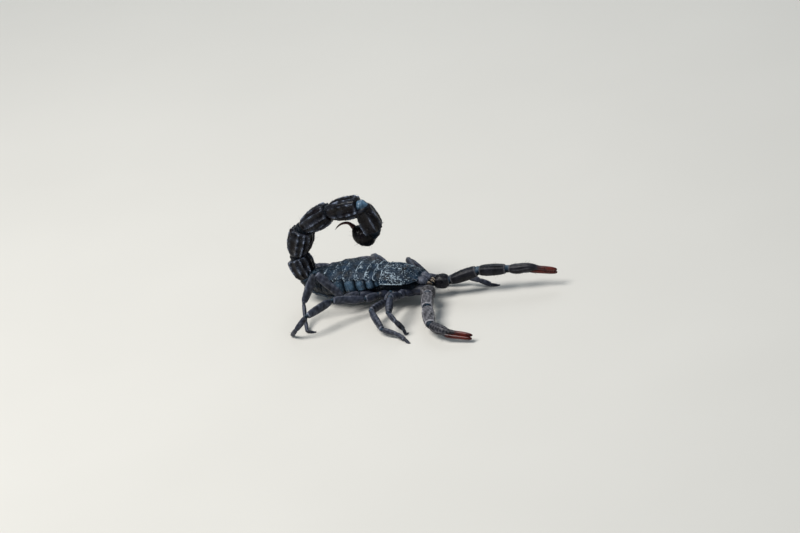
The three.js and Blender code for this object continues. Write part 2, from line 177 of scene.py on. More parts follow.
# Name, place, the place it looks at, size (all metres), watts and colour of each area light.
LIGHTS = [
    ("key_light", (-0.3, -0.25, 0.8), (0, 0, 0.01), 0.55, 8.5, (1.0, 0.98, 0.95)),
    ("side_light", (0.6, -0.5, 0.35), (0, 0, 0.01), 0.5, 0.8, (0.88, 0.94, 1.0)),
    ("back_light", (-0.2, 0.7, 0.5), (0, 0, 0.02), 0.4, 1.0, (0.9, 0.95, 1.0)),
]
AIR_COLOUR = (0.7, 0.85, 1.0, 1.0)
AIR_STRENGTH = 0.24


def unit(vectors):
    vectors = np.asarray(vectors, float)
    return vectors / np.maximum(np.linalg.norm(vectors, axis=-1, keepdims=True), 1e-12)


def in_frame(points):
    """Places in millimetres, turned to metres in the model's frame."""
    return (np.asarray(points, float) + SHIFT) * MM


def mirrored(points, side):
    """The points, carried over the body's middle plane where side is -1."""
    return [(x, side * y, z) for x, y, z in points]


def make_camera():
    data = bpy.data.cameras.new("camera")
    data.lens = LENS
    data.sensor_width = SENSOR
    data.clip_start = 0.01
    camera = bpy.data.objects.new("camera", data)
    bpy.context.scene.collection.objects.link(camera)
    forward = unit(VIEW_FORWARD)
    right = unit(VIEW_RIGHT - forward * (VIEW_RIGHT @ forward))
    up = np.cross(right, forward)
    place = in_frame(-VIEW_DISTANCE * forward + VIEW_SLIDE[0] * right + VIEW_SLIDE[1] * up)
    turn = Matrix((right, up, -forward)).transposed()
    camera.matrix_world = Matrix.Translation(Vector(place)) @ turn.to_4x4()
    bpy.context.scene.camera = camera


def area_light(name, place, target, size, watts, colour):
    data = bpy.data.lights.new(name, "AREA")
    data.shape = "DISK"
    data.size = size
    data.energy = watts
    data.color = colour
    light = bpy.data.objects.new(name, data)
    bpy.context.scene.collection.objects.link(light)
    light.location = place
    light.rotation_euler = (Vector(target) - Vector(place)).to_track_quat("-Z", "Y").to_euler()


# ---------- materials ----------

def linear(colour):
    """A '#rrggbb' colour as linear numbers with alpha."""
    parts = [int(colour[i:i + 2], 16) / 255 for i in (1, 3, 5)]
    return (*[p / 12.92 if p <= 0.04045 else ((p + 0.055) / 1.055) ** 2.4 for p in parts], 1.0)


def node(tree, kind, inputs=None, output=None, **settings):
    """Adds a node with its settings. An input is given a value, or the socket that feeds it.
    Returns the node, or the output socket that is asked for."""
    made = tree.nodes.new(kind)
    for key, value in settings.items():
        setattr(made, key, value)
    for key, value in (inputs or {}).items():
        if isinstance(value, bpy.types.NodeSocket):
            tree.links.new(value, made.inputs[key])
        else:
            made.inputs[key].default_value = value
    return made if output is None else made.outputs[output]


def new_material(name):
    """An empty material, the function that adds nodes to it, and the places its patterns lie on."""
    material = bpy.data.materials.new(name)
    material.use_nodes = True
    material.node_tree.nodes.clear()
    add = partial(node, material.node_tree)
    return material, add, add("ShaderNodeTexCoord", output="Object")


def shaded(material, add, inputs):
    """Ends a material's nodes in one Principled shader."""
    add("ShaderNodeOutputMaterial", {"Surface": add("ShaderNodeBsdfPrincipled", inputs, "BSDF")})
    return material


def per_mm(size):
    """The texture scale that makes a pattern repeat about every so many millimetres."""
    return 1 / (size * MM)


def cuticle(name, deep, worn, dust, gloss, rough, grain_height, bare=0.6, ramp=0.26, speck=0.3, mirror=0.17,
            coat=0.0, veil=0.0, root=None):
    """Hardened scorpion cuticle: dark tanned chitin, faintly grained, with a pale colour where the dust and
    sheen value is high: powder, and on the tail's keels also a painted highlight. bare and ramp say where the
    pale colour starts and how soon it is thick, speck how wide its specks are in millimetres, and veil how
    much of it lies as an even film. root gives the look of the places whose red value is 0, from deep to
    rough."""
    material, add, place = new_material(name)
    clouds = add("ShaderNodeTexNoise", {"Vector": place, "Scale": per_mm(3.2), "Detail": 4.0}, "Fac")
    fine = add("ShaderNodeTexNoise", {"Vector": place, "Scale": per_mm(0.3), "Detail": 3.0}, "Fac")
    specks = add("ShaderNodeTexNoise", {
        "Vector": place, "Scale": per_mm(speck), "Detail": 4.0, "Roughness": 0.62}, "Fac")
    pores = add("ShaderNodeTexVoronoi", {"Vector": place, "Scale": per_mm(0.25)}, "Distance")
    pale_share = add("ShaderNodeAttribute", output="Fac", attribute_name="dust")
    shade = add("ShaderNodeMapRange", {"Value": clouds, "From Min": 0.35, "From Max": 0.68}, "Result")
    looks = [(deep, worn, dust, gloss, rough)] + ([root] if root else [])
    # Pale colour lies in specks: hardly any where the dust and sheen value is 0, a pale film where it is 1.
    half_pale_share = add("ShaderNodeMath", {0: pale_share, 1: 0.3}, 0, operation="MULTIPLY")
    speckled_share = add("ShaderNodeMath", {0: specks, 1: half_pale_share}, 0, operation="ADD")
    film = add("ShaderNodeMapRange", {"Value": speckled_share, "From Min": bare, "From Max": bare + ramp}, "Result")
    film = add("ShaderNodeMath", {0: pale_share, 1: veil, 2: film}, 0, operation="MULTIPLY_ADD", use_clamp=True)
    cloudy = add("ShaderNodeMath", {0: pale_share, 1: 0.5, 2: clouds}, 0, operation="MULTIPLY_ADD")
    colours, roughnesses = [], []
    for low, high, pale, smooth, dull in looks:
        body = add("ShaderNodeMix", {0: shade, 6: linear(low), 7: linear(high)}, 2, data_type="RGBA")
        colours.append(add("ShaderNodeMix", {0: film, 6: body, 7: linear(pale)}, 2, data_type="RGBA"))
        roughnesses.append(add("ShaderNodeMapRange", {
            "Value": cloudy, "From Min": 0.3, "From Max": 1.1, "To Min": smooth, "To Max": dull}, "Result"))
    colour, roughness = colours[0], roughnesses[0]
    if root:
        red = add("ShaderNodeAttribute", output="Fac", attribute_name="red")
        colour = add("ShaderNodeMix", {0: red, 6: colours[1], 7: colours[0]}, 2, data_type="RGBA")
        roughness = add("ShaderNodeMix", {0: red, 2: roughnesses[1], 3: roughnesses[0]}, 0, data_type="FLOAT")
    pitted = add("ShaderNodeMath", {0: fine, 1: 1.25, 2: pores}, 0, operation="MULTIPLY_ADD")
    bump = add("ShaderNodeBump", {"Strength": 0.6, "Distance": grain_height * MM, "Height": pitted}, "Normal")
    # Pits of the fine grain swallow part of the mirror light, so its level is far under smooth chitin's 0.5.
    return shaded(material, add, {
        "Base Color": colour, "Roughness": roughness, "Normal": bump, "IOR": 1.56,
        "Specular IOR Level": mirror, "Coat Weight": coat, "Coat Roughness": 0.2, "Coat IOR": 1.5})


def make_materials():
    made = {}
    # Back plates: matt, finely grained, slate blue-black, with pale powder on every raised edge.
    made["body_shell"] = cuticle("tanned_cuticle_back", "#0a131b", "#1e3347", "#a8b8c4", 0.4, 0.6, 0.06,
                                 bare=0.61, ramp=0.15, speck=0.6, mirror=0.13)
    # Arms: black and smoother, with a soft grey film where powder lies on them.
    arm = ("#0a0a0e", "#24242b", "#a5a3a9", 0.28, 0.5)
    made["arm_shell"] = cuticle("tanned_cuticle_arms", *arm, 0.05,
                                bare=0.68, ramp=0.3, speck=0.55, mirror=0.13, veil=0.55)
    # Legs: smooth and satin, with a thin violet-grey film.
    made["leg_shell"] = cuticle("tanned_cuticle_legs", "#13151d", "#2b3040", "#8b90a0", 0.32, 0.5, 0.05,
                                bare=0.7, ramp=0.3, speck=0.5, mirror=0.17, veil=0.35)
    # Tail: the blackest and hardest, with a satin shine, and pale blue-grey keels: rubbed wear and a painted
    # highlight.
    made["tail_shell"] = cuticle("tanned_cuticle_tail", "#030203", "#110c0f", "#a3afc8", 0.2, 0.36, 0.04,
                                 bare=0.66, ramp=0.3, speck=0.5, mirror=0.12, veil=0.18)
    # Fingers: thinner and clearer, so the chitin's red-brown comes through. Their roots are like the arm.
    made["finger_and_sting_shell"] = cuticle("tanned_cuticle_fingers", "#330603", "#5e1c12", "#a07a70",
                                             0.24, 0.38, 0.02, bare=0.66, mirror=0.22, coat=0.05, root=arm)
    # Sting: the same chitin, thick and darker.
    made["sting"] = cuticle("tanned_cuticle_sting", "#210805", "#45160e", "#5c3a32", 0.22, 0.36, 0.02,
                            bare=0.75, mirror=0.3, coat=0.1)
    # Jaw fingers: horn brown, pale along the top.
    made["jaw"] = cuticle("tanned_cuticle_jaws", "#241b18", "#5b4d44", "#cbbda6", 0.3, 0.45, 0.02,
                          bare=0.52, mirror=0.2)
    # Comb organs: thin, dull, light brown.
    made["comb"] = cuticle("pale_cuticle_combs", "#2a231e", "#453a32", "#8b7c6c", 0.45, 0.6, 0.02)
    made["membrane"] = membrane_material()
    made["eye_lens"] = eye_material()
    made["bristle"] = bristle_material()
    return made


def membrane_material():
    """Soft joint membrane between the plates: leathery, finely pleated and dark, with a painted blue-grey
    highlight.
    """
    material, add, place = new_material("soft_joint_membrane")
    clouds = add("ShaderNodeTexNoise", {"Vector": place, "Scale": per_mm(2.0), "Detail": 4.0}, "Fac")
    fine = add("ShaderNodeTexNoise", {"Vector": place, "Scale": per_mm(0.3), "Detail": 3.0}, "Fac")
    creases = add("ShaderNodeTexWave", {
        "Vector": place, "Scale": per_mm(2.2), "Distortion": 6.0, "Detail": 3.0, "Detail Scale": 1.5}, "Fac",
        bands_direction="DIAGONAL")
    pale_share = add("ShaderNodeAttribute", output="Fac", attribute_name="dust")
    shade = add("ShaderNodeMapRange", {"Value": clouds, "From Min": 0.35, "From Max": 0.65}, "Result")
    body = add("ShaderNodeMix", {0: shade, 6: linear("#03060a"), 7: linear("#0a1622")}, 2, data_type="RGBA")
    # The pale blue-grey is a painted highlight.
    light = add("ShaderNodeMix", {0: shade, 6: linear("#446784"), 7: linear("#628cac")}, 2, data_type="RGBA")
    colour = add("ShaderNodeMix", {0: pale_share, 6: body, 7: light}, 2, data_type="RGBA")
    height = add("ShaderNodeMath", {0: creases, 1: fine}, 0, operation="ADD")
    bump = add("ShaderNodeBump", {"Strength": 0.8, "Distance": 0.14 * MM, "Height": height}, "Normal")
    roughness = add("ShaderNodeMapRange", {
        "Value": clouds, "From Min": 0.3, "From Max": 0.7, "To Min": 0.22, "To Max": 0.4}, "Result")
    # Where the painted highlight lies the skin is also made wet and shiny, and elsewhere it hardly shines.
    shine = add("ShaderNodeMapRange", {
        "Value": pale_share, "From Min": 0.05, "From Max": 0.45, "To Min": 0.14, "To Max": 0.75}, "Result")
    wet = add("ShaderNodeMapRange", {
        "Value": pale_share, "From Min": 0.4, "From Max": 0.6, "To Min": 0.0, "To Max": 0.9}, "Result")
    return shaded(material, add, {
        "Base Color": colour, "Roughness": roughness, "Normal": bump, "IOR": 1.45,
        "Specular IOR Level": shine, "Coat Weight": wet, "Coat Roughness": 0.16})


def eye_material():
    """Eye lens: clear cuticle over black pigment, polished smooth."""
    material, add, place = new_material("eye_lens_cuticle")
    depth = add("ShaderNodeTexNoise", {"Vector": place, "Scale": per_mm(0.6)}, "Fac")
    colour = add("ShaderNodeMix", {0: depth, 6: linear("#050506"), 7: linear("#101014")}, 2, data_type="RGBA")
    return shaded(material, add, {
        "Base Color": colour, "Roughness": 0.08, "IOR": 1.56, "Coat Weight": 0.6, "Coat Roughness": 0.04})


def bristle_material():
    """Bristles: stiff hollow hairs of red-brown chitin, clear towards the tip."""
    material, add, place = new_material("chitin_bristles")
    patch = add("ShaderNodeTexNoise", {"Vector": place, "Scale": per_mm(1.5)}, "Fac")
    colour = add("ShaderNodeMix", {0: patch, 6: linear("#110c0a"), 7: linear("#2e231f")}, 2, data_type="RGBA")
    return shaded(material, add, {"Base Color": colour, "Roughness": 0.4, "IOR": 1.55})


def floor_material():
    """Studio floor: smooth pale matt paint."""
    material, add, place = new_material("matt_pale_paint")
    patch = add("ShaderNodeTexNoise", {"Vector": place, "Scale": per_mm(90.0)}, "Fac")
    colour = add("ShaderNodeMix", {0: patch, 6: linear("#d2cfc8"), 7: linear("#d8d5ce")}, 2, data_type="RGBA")
    return shaded(material, add, {"Base Color": colour, "Roughness": 0.8})


# ---------- shape tools ----------

UP = np.array([0.0, 0.0, 1.0])
TAU = 2 * math.pi
# Edges between faces that meet at more than this angle, in degrees, stay sharp.
SHARP_ANGLE = 62


def smooth_step(value, low, high):
    t = np.clip((np.asarray(value, float) - low) / (high - low), 0, 1)
    return t * t * (3 - 2 * t)


def signed_power(value, power):
    return np.sign(value) * np.abs(value) ** power


def profile(values, s):
    """Smooth values at s (0 to 1) through evenly spaced ones."""
    v = np.asarray(values, float)
    last = len(v) - 1
    t = np.clip(s, 0, 1) * last
    i = np.minimum(t.astype(int), last - 1)
    f = t - i
    before, here, there, after = v[np.maximum(i - 1, 0)], v[i], v[i + 1], v[np.minimum(i + 2, last)]
    slope_here, slope_there = (there - before) / 2, (after - here) / 2
    cubic = 2 * here - 2 * there + slope_here + slope_there
    square = -3 * here + 3 * there - 2 * slope_here - slope_there
    return cubic * f ** 3 + square * f ** 2 + slope_here * f + here


def curve_at(points, s):
    """Places at shares s of the length of a smooth curve through the points."""
    p = np.asarray(points, float)
    if len(p) > 2:
        p = np.vstack([2 * p[0] - p[1], p, 2 * p[-1] - p[-2]])
        gaps = np.linalg.norm(np.diff(p, axis=0), axis=1) ** 0.5
        t = np.concatenate([[0], np.cumsum(gaps)])
        dense = []
        for k in range(1, len(p) - 2):
            at = np.linspace(t[k], t[k + 1], 40)[:, None]
            a = [((t[j + 1] - at) * p[j] + (at - t[j]) * p[j + 1]) / (t[j + 1] - t[j])
                 for j in (k - 1, k, k + 1)]
            b = [((t[j + 2] - at) * a[n] + (at - t[j]) * a[n + 1]) / (t[j + 2] - t[j])
                 for n, j in enumerate((k - 1, k))]
            dense.append(((t[k + 1] - at) * b[0] + (at - t[k]) * b[1]) / (t[k + 1] - t[k]))
        p = np.vstack(dense)
    steps = np.concatenate([[0], np.cumsum(np.linalg.norm(np.diff(p, axis=0), axis=1))])
    at = np.clip(s, 0, 1) * steps[-1]
    return np.stack([np.interp(at, steps, p[:, k]) for k in range(3)], axis=-1)


def directions(points, s, reference):
    """Along, left and over (unit vectors) at shares s of the curve's length."""
    along = unit(curve_at(points, s + 0.01) - curve_at(points, s - 0.01))
    left = unit(np.cross(reference, along))
    return along, left, np.cross(along, left)


def normals_of(grid):
    along = np.gradient(grid, axis=0)
    across = np.gradient(grid, axis=1)
    return unit(np.cross(across, along))


def wave(points, size, seed):
    """Smooth irregular values, about -1 to 1, from a few sine waves that cross each other."""
    draw = np.random.default_rng(seed)
    total = np.zeros(points.shape[:-1])
    for _ in range(6):
        way = unit(draw.normal(size=3)) * TAU / (size * draw.uniform(0.7, 1.5))
        total += np.sin(points @ way + draw.uniform(0, TAU))
    return total / 2.6


class Shape:
    """Points (millimetres) and faces, in closed parts. Each point carries dust, grain, hair and red, and the
    direction in which its hair lies."""

    def __init__(self):
        self.parts = []

    def tube(self, grid, lie=(0, 0, 1), **values):
        """A closed tube from a grid of rings. The first and the last ring shrink to their middles."""
        rings, around = grid.shape[0] - 2, grid.shape[1]

        def capped(value, width):
            """One row for each point of the tube, from a value for each point of the grid."""
            rows = np.broadcast_to(value, (rings + 2, around, width))
            return np.vstack([rows[0].mean(0), rows[1:-1].reshape(-1, width), rows[-1].mean(0)])

        def corner(across, height):
            return np.stack(np.broadcast_arrays(across, height), -1)

        j = np.arange(around)
        after = (j + 1) % around
        rows = 1 + np.arange(rings - 1)[:, None] * around
        last = 1 + (rings - 1) * around
        quads = np.stack([rows + j, rows + after, rows + around + after, rows + around + j], -1)
        first_fan = np.stack([np.zeros_like(j), 1 + after, 1 + j], -1)
        last_fan = np.stack([np.full_like(j, last + around), last + j, last + after], -1)
        here, there = j / around, (j + 1) / around
        v = np.linspace(0, 1, rings + 2)
        low, high = v[1:-2, None], v[2:-1, None]
        quad_maps = np.stack([corner(here, low), corner(there, low),
                              corner(there, high), corner(here, high)], -2)
        first_maps = np.stack([corner(here, 0.0), corner(there, v[1]), corner(here, v[1])], 1)
        last_maps = np.stack([corner(here, 1.0), corner(here, v[-2]), corner(there, v[-2])], 1)
        self.parts.append({
            "points": capped(grid, 3), "lie": capped(lie, 3),
            "quads": quads.reshape(-1, 4), "triangles": np.vstack([first_fan, last_fan]),
            "quad_maps": quad_maps.reshape(-1, 4, 2), "triangle_maps": np.vstack([first_maps, last_maps]),
            **{key: capped(np.asarray(value)[..., None], 1).ravel() for key, value in values.items()}})

    def sheet(self, outer, inner, grain, dust):
        """A closed plate between two grids, with its edge all round. It bears granules on its outer face."""
        rows, columns = outer.shape[:2]
        middle = (rows // 2, columns // 2)
        if normals_of(outer)[middle] @ (outer[middle] - inner[middle]) < 0:
            outer, inner, grain, dust = (each[:, ::-1] for each in (outer, inner, grain, dust))
        size = rows * columns
        index = np.arange(size).reshape(rows, columns)
        top = np.stack([index[:-1, :-1], index[:-1, 1:], index[1:, 1:], index[1:, :-1]], -1).reshape(-1, 4)
        loop = np.concatenate([index[0, :-1], index[:-1, -1], index[-1, :0:-1], index[:0:-1, 0]])
        onward = np.roll(loop, -1)
        edge = np.stack([onward, loop, loop + size, onward + size], -1)
        self.parts.append({
            "points": np.vstack([outer.reshape(-1, 3), inner.reshape(-1, 3)]),
            "quads": np.vstack([top, top[:, ::-1] + size, edge]), "triangles": np.zeros((0, 3), int),
            "grain": np.concatenate([grain.ravel(), np.zeros(size)]), "dust": np.tile(dust.ravel(), 2)})

    def add(self, other):
        """Takes in another shape whole."""
        self.parts += other.parts

    def make(self, name, material, map_name=None):
        """The shape's object. With a map's name, it also has the hair's lie and a map of its tubes."""
        parts = self.parts
        starts = np.cumsum([0] + [len(part["points"]) for part in parts])
        quads, triangles = (np.vstack([part[kind] + start for part, start in zip(parts, starts)])
                            for kind in ("quads", "triangles"))
        mesh = bpy.data.meshes.new(name)
        points = in_frame(np.vstack([part["points"] for part in parts]))
        mesh.from_pydata(points.tolist(), [], quads.tolist() + triangles.tolist())
        for key in ("dust", "grain", "hair", "red"):
            values = np.concatenate([part.get(key, np.zeros(len(part["points"]))) for part in parts])
            layer = mesh.attributes.new(key, "FLOAT", "POINT")
            layer.data.foreach_set("value", values.astype(np.float32))
        if map_name:
            lies = np.vstack([part["lie"] for part in parts])
            layer = mesh.attributes.new("lie", "FLOAT_VECTOR", "POINT")
            layer.data.foreach_set("vector", lies.astype(np.float32).ravel())
            corners = np.vstack([in_cell(part[kind].reshape(-1, 2), number, len(parts))
                                 for kind in ("quad_maps", "triangle_maps")
                                 for number, part in enumerate(parts)])
            mesh.uv_layers.new(name=map_name)
            mesh.uv_layers[map_name].data.foreach_set("uv", corners.astype(np.float32).ravel())
        mesh.polygons.foreach_set("use_smooth", [True] * len(mesh.polygons))
        mesh.set_sharp_from_angle(angle=math.radians(SHARP_ANGLE))
        mesh.materials.append(material)
        piece = bpy.data.objects.new(name, mesh)
        bpy.context.scene.collection.objects.link(piece)
        return piece


def in_cell(places, number, count):
    """Moves one part's own map into its cell of a square board with a cell for each part."""
    per_side = math.ceil(math.sqrt(count))
    cell = np.array([number % per_side, number // per_side])
    return (cell + np.clip(places * 0.92 + 0.04, 0, 1)) / per_side


def limb(points, half_widths, half_heights=None, relief=None, along=40, around=40, ends=10, box=1.0,
         reference=UP, floor=None):
    """A grid of rings along a path, and the direction it runs in. It is round where no heights are given.
    relief(s, angle, places) scales the radius. A higher ends is a blunter end, a lower box a squarer one."""
    half_heights = half_widths if half_heights is None else half_heights
    t = np.linspace(0, 1, along)
    s = 0.45 * t + 0.55 * (1 - np.cos(np.pi * t)) / 2
    angle = np.arange(around) / around * TAU
    centre = curve_at(points, s)
    ahead, left, over = directions(points, s, reference)
    fill = np.sqrt(np.clip(1 - np.abs(2 * s - 1) ** ends, 0, 1))
    side = (profile(half_widths, s) * fill)[:, None] * signed_power(np.cos(angle), box)
    height = (profile(half_heights, s) * fill)[:, None] * signed_power(np.sin(angle), box)
    grid = centre[:, None] + left[:, None] * side[..., None] + over[:, None] * height[..., None]
    if relief is not None:
        scale = relief(s[:, None], angle[None, :], grid)
        grid = centre[:, None] + (grid - centre[:, None]) * scale[..., None]
    if floor is not None:
        grid[..., 2] = np.maximum(grid[..., 2], floor)
    return grid, ahead[:, None, :]


def ridge(angle, at, width):
    """1 on a line at an angle (degrees), falling to 0 within its width (degrees)."""
    gap = (np.degrees(angle) - at + 180) % 360 - 180
    return np.exp(-(gap / width) ** 2)


def beads(s, count, share=0.45):
    """A row of uneven bumps: 1 on each bump, down to 1 - share between them."""
    uneven = count * s + 0.35 * np.sin(TAU * s * count / 3.7) + 0.3 * np.sin(TAU * s * count / 5.3 + 1)
    return 1 - share * (0.5 + 0.5 * np.cos(TAU * uneven)) * (0.8 + 0.2 * np.sin(uneven * 2.3))


# ---------- repeated small shapes ----------

def geometry_tree(name, sizes):
    """A Geometry Nodes tree with a geometry input, a number input for each size, and a geometry output.
    Returns the tree, the function that adds nodes to it, its inputs and its outputs."""
    tree = bpy.data.node_groups.new(name, "GeometryNodeTree")
    tree.interface.new_socket("Geometry", in_out="INPUT", socket_type="NodeSocketGeometry")
    for label, value in sizes.items():
        kind = "NodeSocketInt" if isinstance(value, int) else "NodeSocketFloat"
        tree.interface.new_socket(label, in_out="INPUT", socket_type=kind).default_value = value
    tree.interface.new_socket("Material", in_out="INPUT", socket_type="NodeSocketMaterial")
    tree.interface.new_socket("Geometry", in_out="OUTPUT", socket_type="NodeSocketGeometry")
    add = partial(node, tree)
    return tree, add, add("NodeGroupInput").outputs, add("NodeGroupOutput").inputs


def grain_tree():
    """Granules of the cuticle: low domes scattered where the grain value is high, joined to the surface."""
    tree, add, given, result = geometry_tree("granules_on_a_shell", {
        "Spacing": 0.0004, "Density": 6e6, "Size": 0.00016, "Flatness": 0.8, "Paleness": 0.8, "Seed": SEED})
    grain = add("GeometryNodeInputNamedAttribute", {"Name": "grain"}, "Attribute", data_type="FLOAT")
    spots = add("GeometryNodeDistributePointsOnFaces", {
        "Mesh": given["Geometry"], "Distance Min": given["Spacing"], "Density Max": given["Density"],
        "Density Factor": grain, "Seed": given["Seed"]}, distribute_method="POISSON")
    dome = add("GeometryNodeMeshIcoSphere", {"Radius": 1.0, "Subdivisions": 1}, "Mesh")
    vary = add("FunctionNodeRandomValue", {2: 0.5, 3: 1.25, "Seed": given["Seed"]}, 1, data_type="FLOAT")
    size = add("ShaderNodeMath", {0: given["Size"], 1: vary}, 0, operation="MULTIPLY")
    tall = add("ShaderNodeMath", {0: size, 1: given["Flatness"]}, 0, operation="MULTIPLY")
    scale = add("ShaderNodeCombineXYZ", {"X": size, "Y": size, "Z": tall}, 0)
    # A third of the granules are rubbed pale, and the rest stay as dark as the shell round them.
    rubbed = add("FunctionNodeRandomValue", {2: -1.1, 3: 1.0, "Seed": SEED}, 1, data_type="FLOAT")
    pale = add("ShaderNodeMath", {0: rubbed, 1: given["Paleness"]}, 0, operation="MULTIPLY")
    marked = add("GeometryNodeStoreNamedAttribute", {
        "Geometry": spots.outputs["Points"], "Name": "rubbed", "Value": pale}, "Geometry", data_type="FLOAT",
        domain="POINT")
    placed = add("GeometryNodeInstanceOnPoints", {
        "Points": marked, "Instance": dome, "Rotation": spots.outputs["Rotation"], "Scale": scale},
        "Instances")
    solid = add("GeometryNodeRealizeInstances", {"Geometry": placed}, "Geometry")
    dust = add("GeometryNodeInputNamedAttribute", {"Name": "dust"}, "Attribute", data_type="FLOAT")
    shine = add("GeometryNodeInputNamedAttribute", {"Name": "rubbed"}, "Attribute", data_type="FLOAT")
    both = add("ShaderNodeMath", {0: dust, 1: shine}, 0, operation="ADD")
    stored = add("GeometryNodeStoreNamedAttribute", {
        "Geometry": solid, "Name": "dust", "Value": both}, "Geometry", data_type="FLOAT", domain="POINT")
    smooth = add("GeometryNodeSetShadeSmooth", {"Geometry": stored}, "Geometry")
    joined = add("GeometryNodeJoinGeometry")
    tree.links.new(given["Geometry"], joined.inputs["Geometry"])
    tree.links.new(smooth, joined.inputs["Geometry"])
    finish = add("GeometryNodeSetMaterial", {
        "Geometry": joined.outputs["Geometry"], "Material": given["Material"]}, "Geometry")
    tree.links.new(finish, result["Geometry"])
    return tree


def bristle_tree():
    """Bristles: thin curved cones that stand where the hair value is high and lean along the limb."""
    tree, add, given, result = geometry_tree("bristles_on_a_shell", {
        "Spacing": 0.0009, "Density": 3e6, "Length": 0.0018, "Thickness": 0.018, "Lean": 0.9, "Seed": SEED})
    hair = add("GeometryNodeInputNamedAttribute", {"Name": "hair"}, "Attribute", data_type="FLOAT")
    lie = add("GeometryNodeInputNamedAttribute", {"Name": "lie"}, "Attribute", data_type="FLOAT_VECTOR")
    spots = add("GeometryNodeDistributePointsOnFaces", {
        "Mesh": given["Geometry"], "Distance Min": given["Spacing"], "Density Max": given["Density"],
        "Density Factor": hair, "Seed": given["Seed"]}, distribute_method="POISSON")
    cone = add("GeometryNodeMeshCone", {
        "Vertices": 4, "Side Segments": 4, "Radius Top": 0.05, "Radius Bottom": 1.0, "Depth": 1.0}, "Mesh",
        fill_type="NONE")
    place = add("GeometryNodeInputPosition", output="Position")
    parts = add("ShaderNodeSeparateXYZ", {"Vector": place})
    height = parts.outputs["Z"]
    bend = add("ShaderNodeMath", {0: height, 1: 2.0}, 0, operation="POWER")
    thin = add("ShaderNodeMath", {0: parts.outputs["X"], 1: given["Thickness"]}, 0, operation="MULTIPLY")
    curved = add("ShaderNodeMath", {0: bend, 1: 0.22, 2: thin}, 0, operation="MULTIPLY_ADD")
    narrow = add("ShaderNodeMath", {0: parts.outputs["Y"], 1: given["Thickness"]}, 0, operation="MULTIPLY")
    shape = add("ShaderNodeCombineXYZ", {"X": curved, "Y": narrow, "Z": height}, 0)
    spotted = add("GeometryNodeStoreNamedAttribute", {
        "Geometry": cone, "Name": "patch", "Value": place}, "Geometry", data_type="FLOAT_VECTOR",
        domain="POINT")
    bristle = add("GeometryNodeSetPosition", {"Geometry": spotted, "Position": shape}, "Geometry")
    lean = add("ShaderNodeVectorMath", {0: lie, "Scale": given["Lean"]}, 0, operation="SCALE")
    way = add("ShaderNodeVectorMath", {0: spots.outputs["Normal"], 1: lean}, 0, operation="ADD")
    turn = add("FunctionNodeAlignEulerToVector", {"Vector": way}, 0, axis="Z")
    vary = add("FunctionNodeRandomValue", {2: 0.5, 3: 1.3, "Seed": given["Seed"]}, 1, data_type="FLOAT")
    size = add("ShaderNodeMath", {0: given["Length"], 1: vary}, 0, operation="MULTIPLY")
    placed = add("GeometryNodeInstanceOnPoints", {
        "Points": spots.outputs["Points"], "Instance": bristle, "Rotation": turn, "Scale": size}, "Instances")
    solid = add("GeometryNodeRealizeInstances", {"Geometry": placed}, "Geometry")
    # No bristle reaches through the floor.
    end = add("GeometryNodeInputPosition", output="Position")
    above = add("ShaderNodeVectorMath", {0: end, 1: (-10.0, -10.0, 0.00002)}, 0, operation="MAXIMUM")
    lifted = add("GeometryNodeSetPosition", {"Geometry": solid, "Position": above}, "Geometry")
    root = add("GeometryNodeInputNamedAttribute", {"Name": "root"}, "Attribute", data_type="FLOAT_VECTOR")
    patch = add("GeometryNodeInputNamedAttribute", {"Name": "patch"}, "Attribute", data_type="FLOAT_VECTOR")
    small = add("ShaderNodeVectorMath", {0: patch, "Scale": 0.0015}, 0, operation="SCALE")
    spot = add("ShaderNodeVectorMath", {0: root, 1: small}, 0, operation="ADD")
    mapped = add("GeometryNodeStoreNamedAttribute", {
        "Geometry": lifted, "Name": BAKE_MAP, "Value": spot}, "Geometry", data_type="FLOAT2", domain="CORNER")
    smooth = add("GeometryNodeSetShadeSmooth", {"Geometry": mapped}, "Geometry")
    finish = add("GeometryNodeSetMaterial", {"Geometry": smooth, "Material": given["Material"]}, "Geometry")
    tree.links.new(finish, result["Geometry"])
    return tree


def grown(piece, tree, material, **sizes):
    """Runs a tree on a piece and keeps the result as its plain mesh."""
    modifier = piece.modifiers.new("growth", "NODES")
    modifier.node_group = tree
    sockets = {i.name: i.identifier for i in tree.interface.items_tree if i.in_out == "INPUT"}
    for label, value in sizes.items():
        modifier[sockets[label]] = value
    modifier[sockets["Material"]] = material
    done = piece.evaluated_get(bpy.context.evaluated_depsgraph_get())
    mesh = bpy.data.meshes.new_from_object(done)
    piece.modifiers.remove(modifier)
    old = piece.data
    piece.data = mesh
    mesh.name = piece.name
    bpy.data.meshes.remove(old)


MATERIALS = make_materials()
GRAINS = grain_tree()
BRISTLES = bristle_tree()
coats = {"tail": Shape(), "arms": Shape(), "legs": Shape(), "head": Shape()}


def finished(shape, name, slot, *nodes, grain=None, coat=None, material=None):
    """Makes a piece, grows its granules, hangs it on the root body and hides the solids it replaces.
    Its material is the one named by material, or else by slot.
    """
    piece = shape.make(name, MATERIALS[material or slot])
    if grain:
        grown(piece, GRAINS, MATERIALS[material or slot], **grain)
    if coat:
        coats[coat].add(shape)
    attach(piece, "root")
    if nodes:
        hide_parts(*nodes)


def plate(base, height, thickness, facing, grain, dust):
    """A plate whose outer face is the base raised by a height. facing is 1 if it looks up, -1 if down."""
    out = normals_of(base)
    out *= facing * np.sign(out[..., 2].mean())
    outer = base + out * height[..., None]
    shape = Shape()
    shape.sheet(outer, outer - out * thickness, grain, dust)
    return shape


# ---------- carapace and eyes ----------

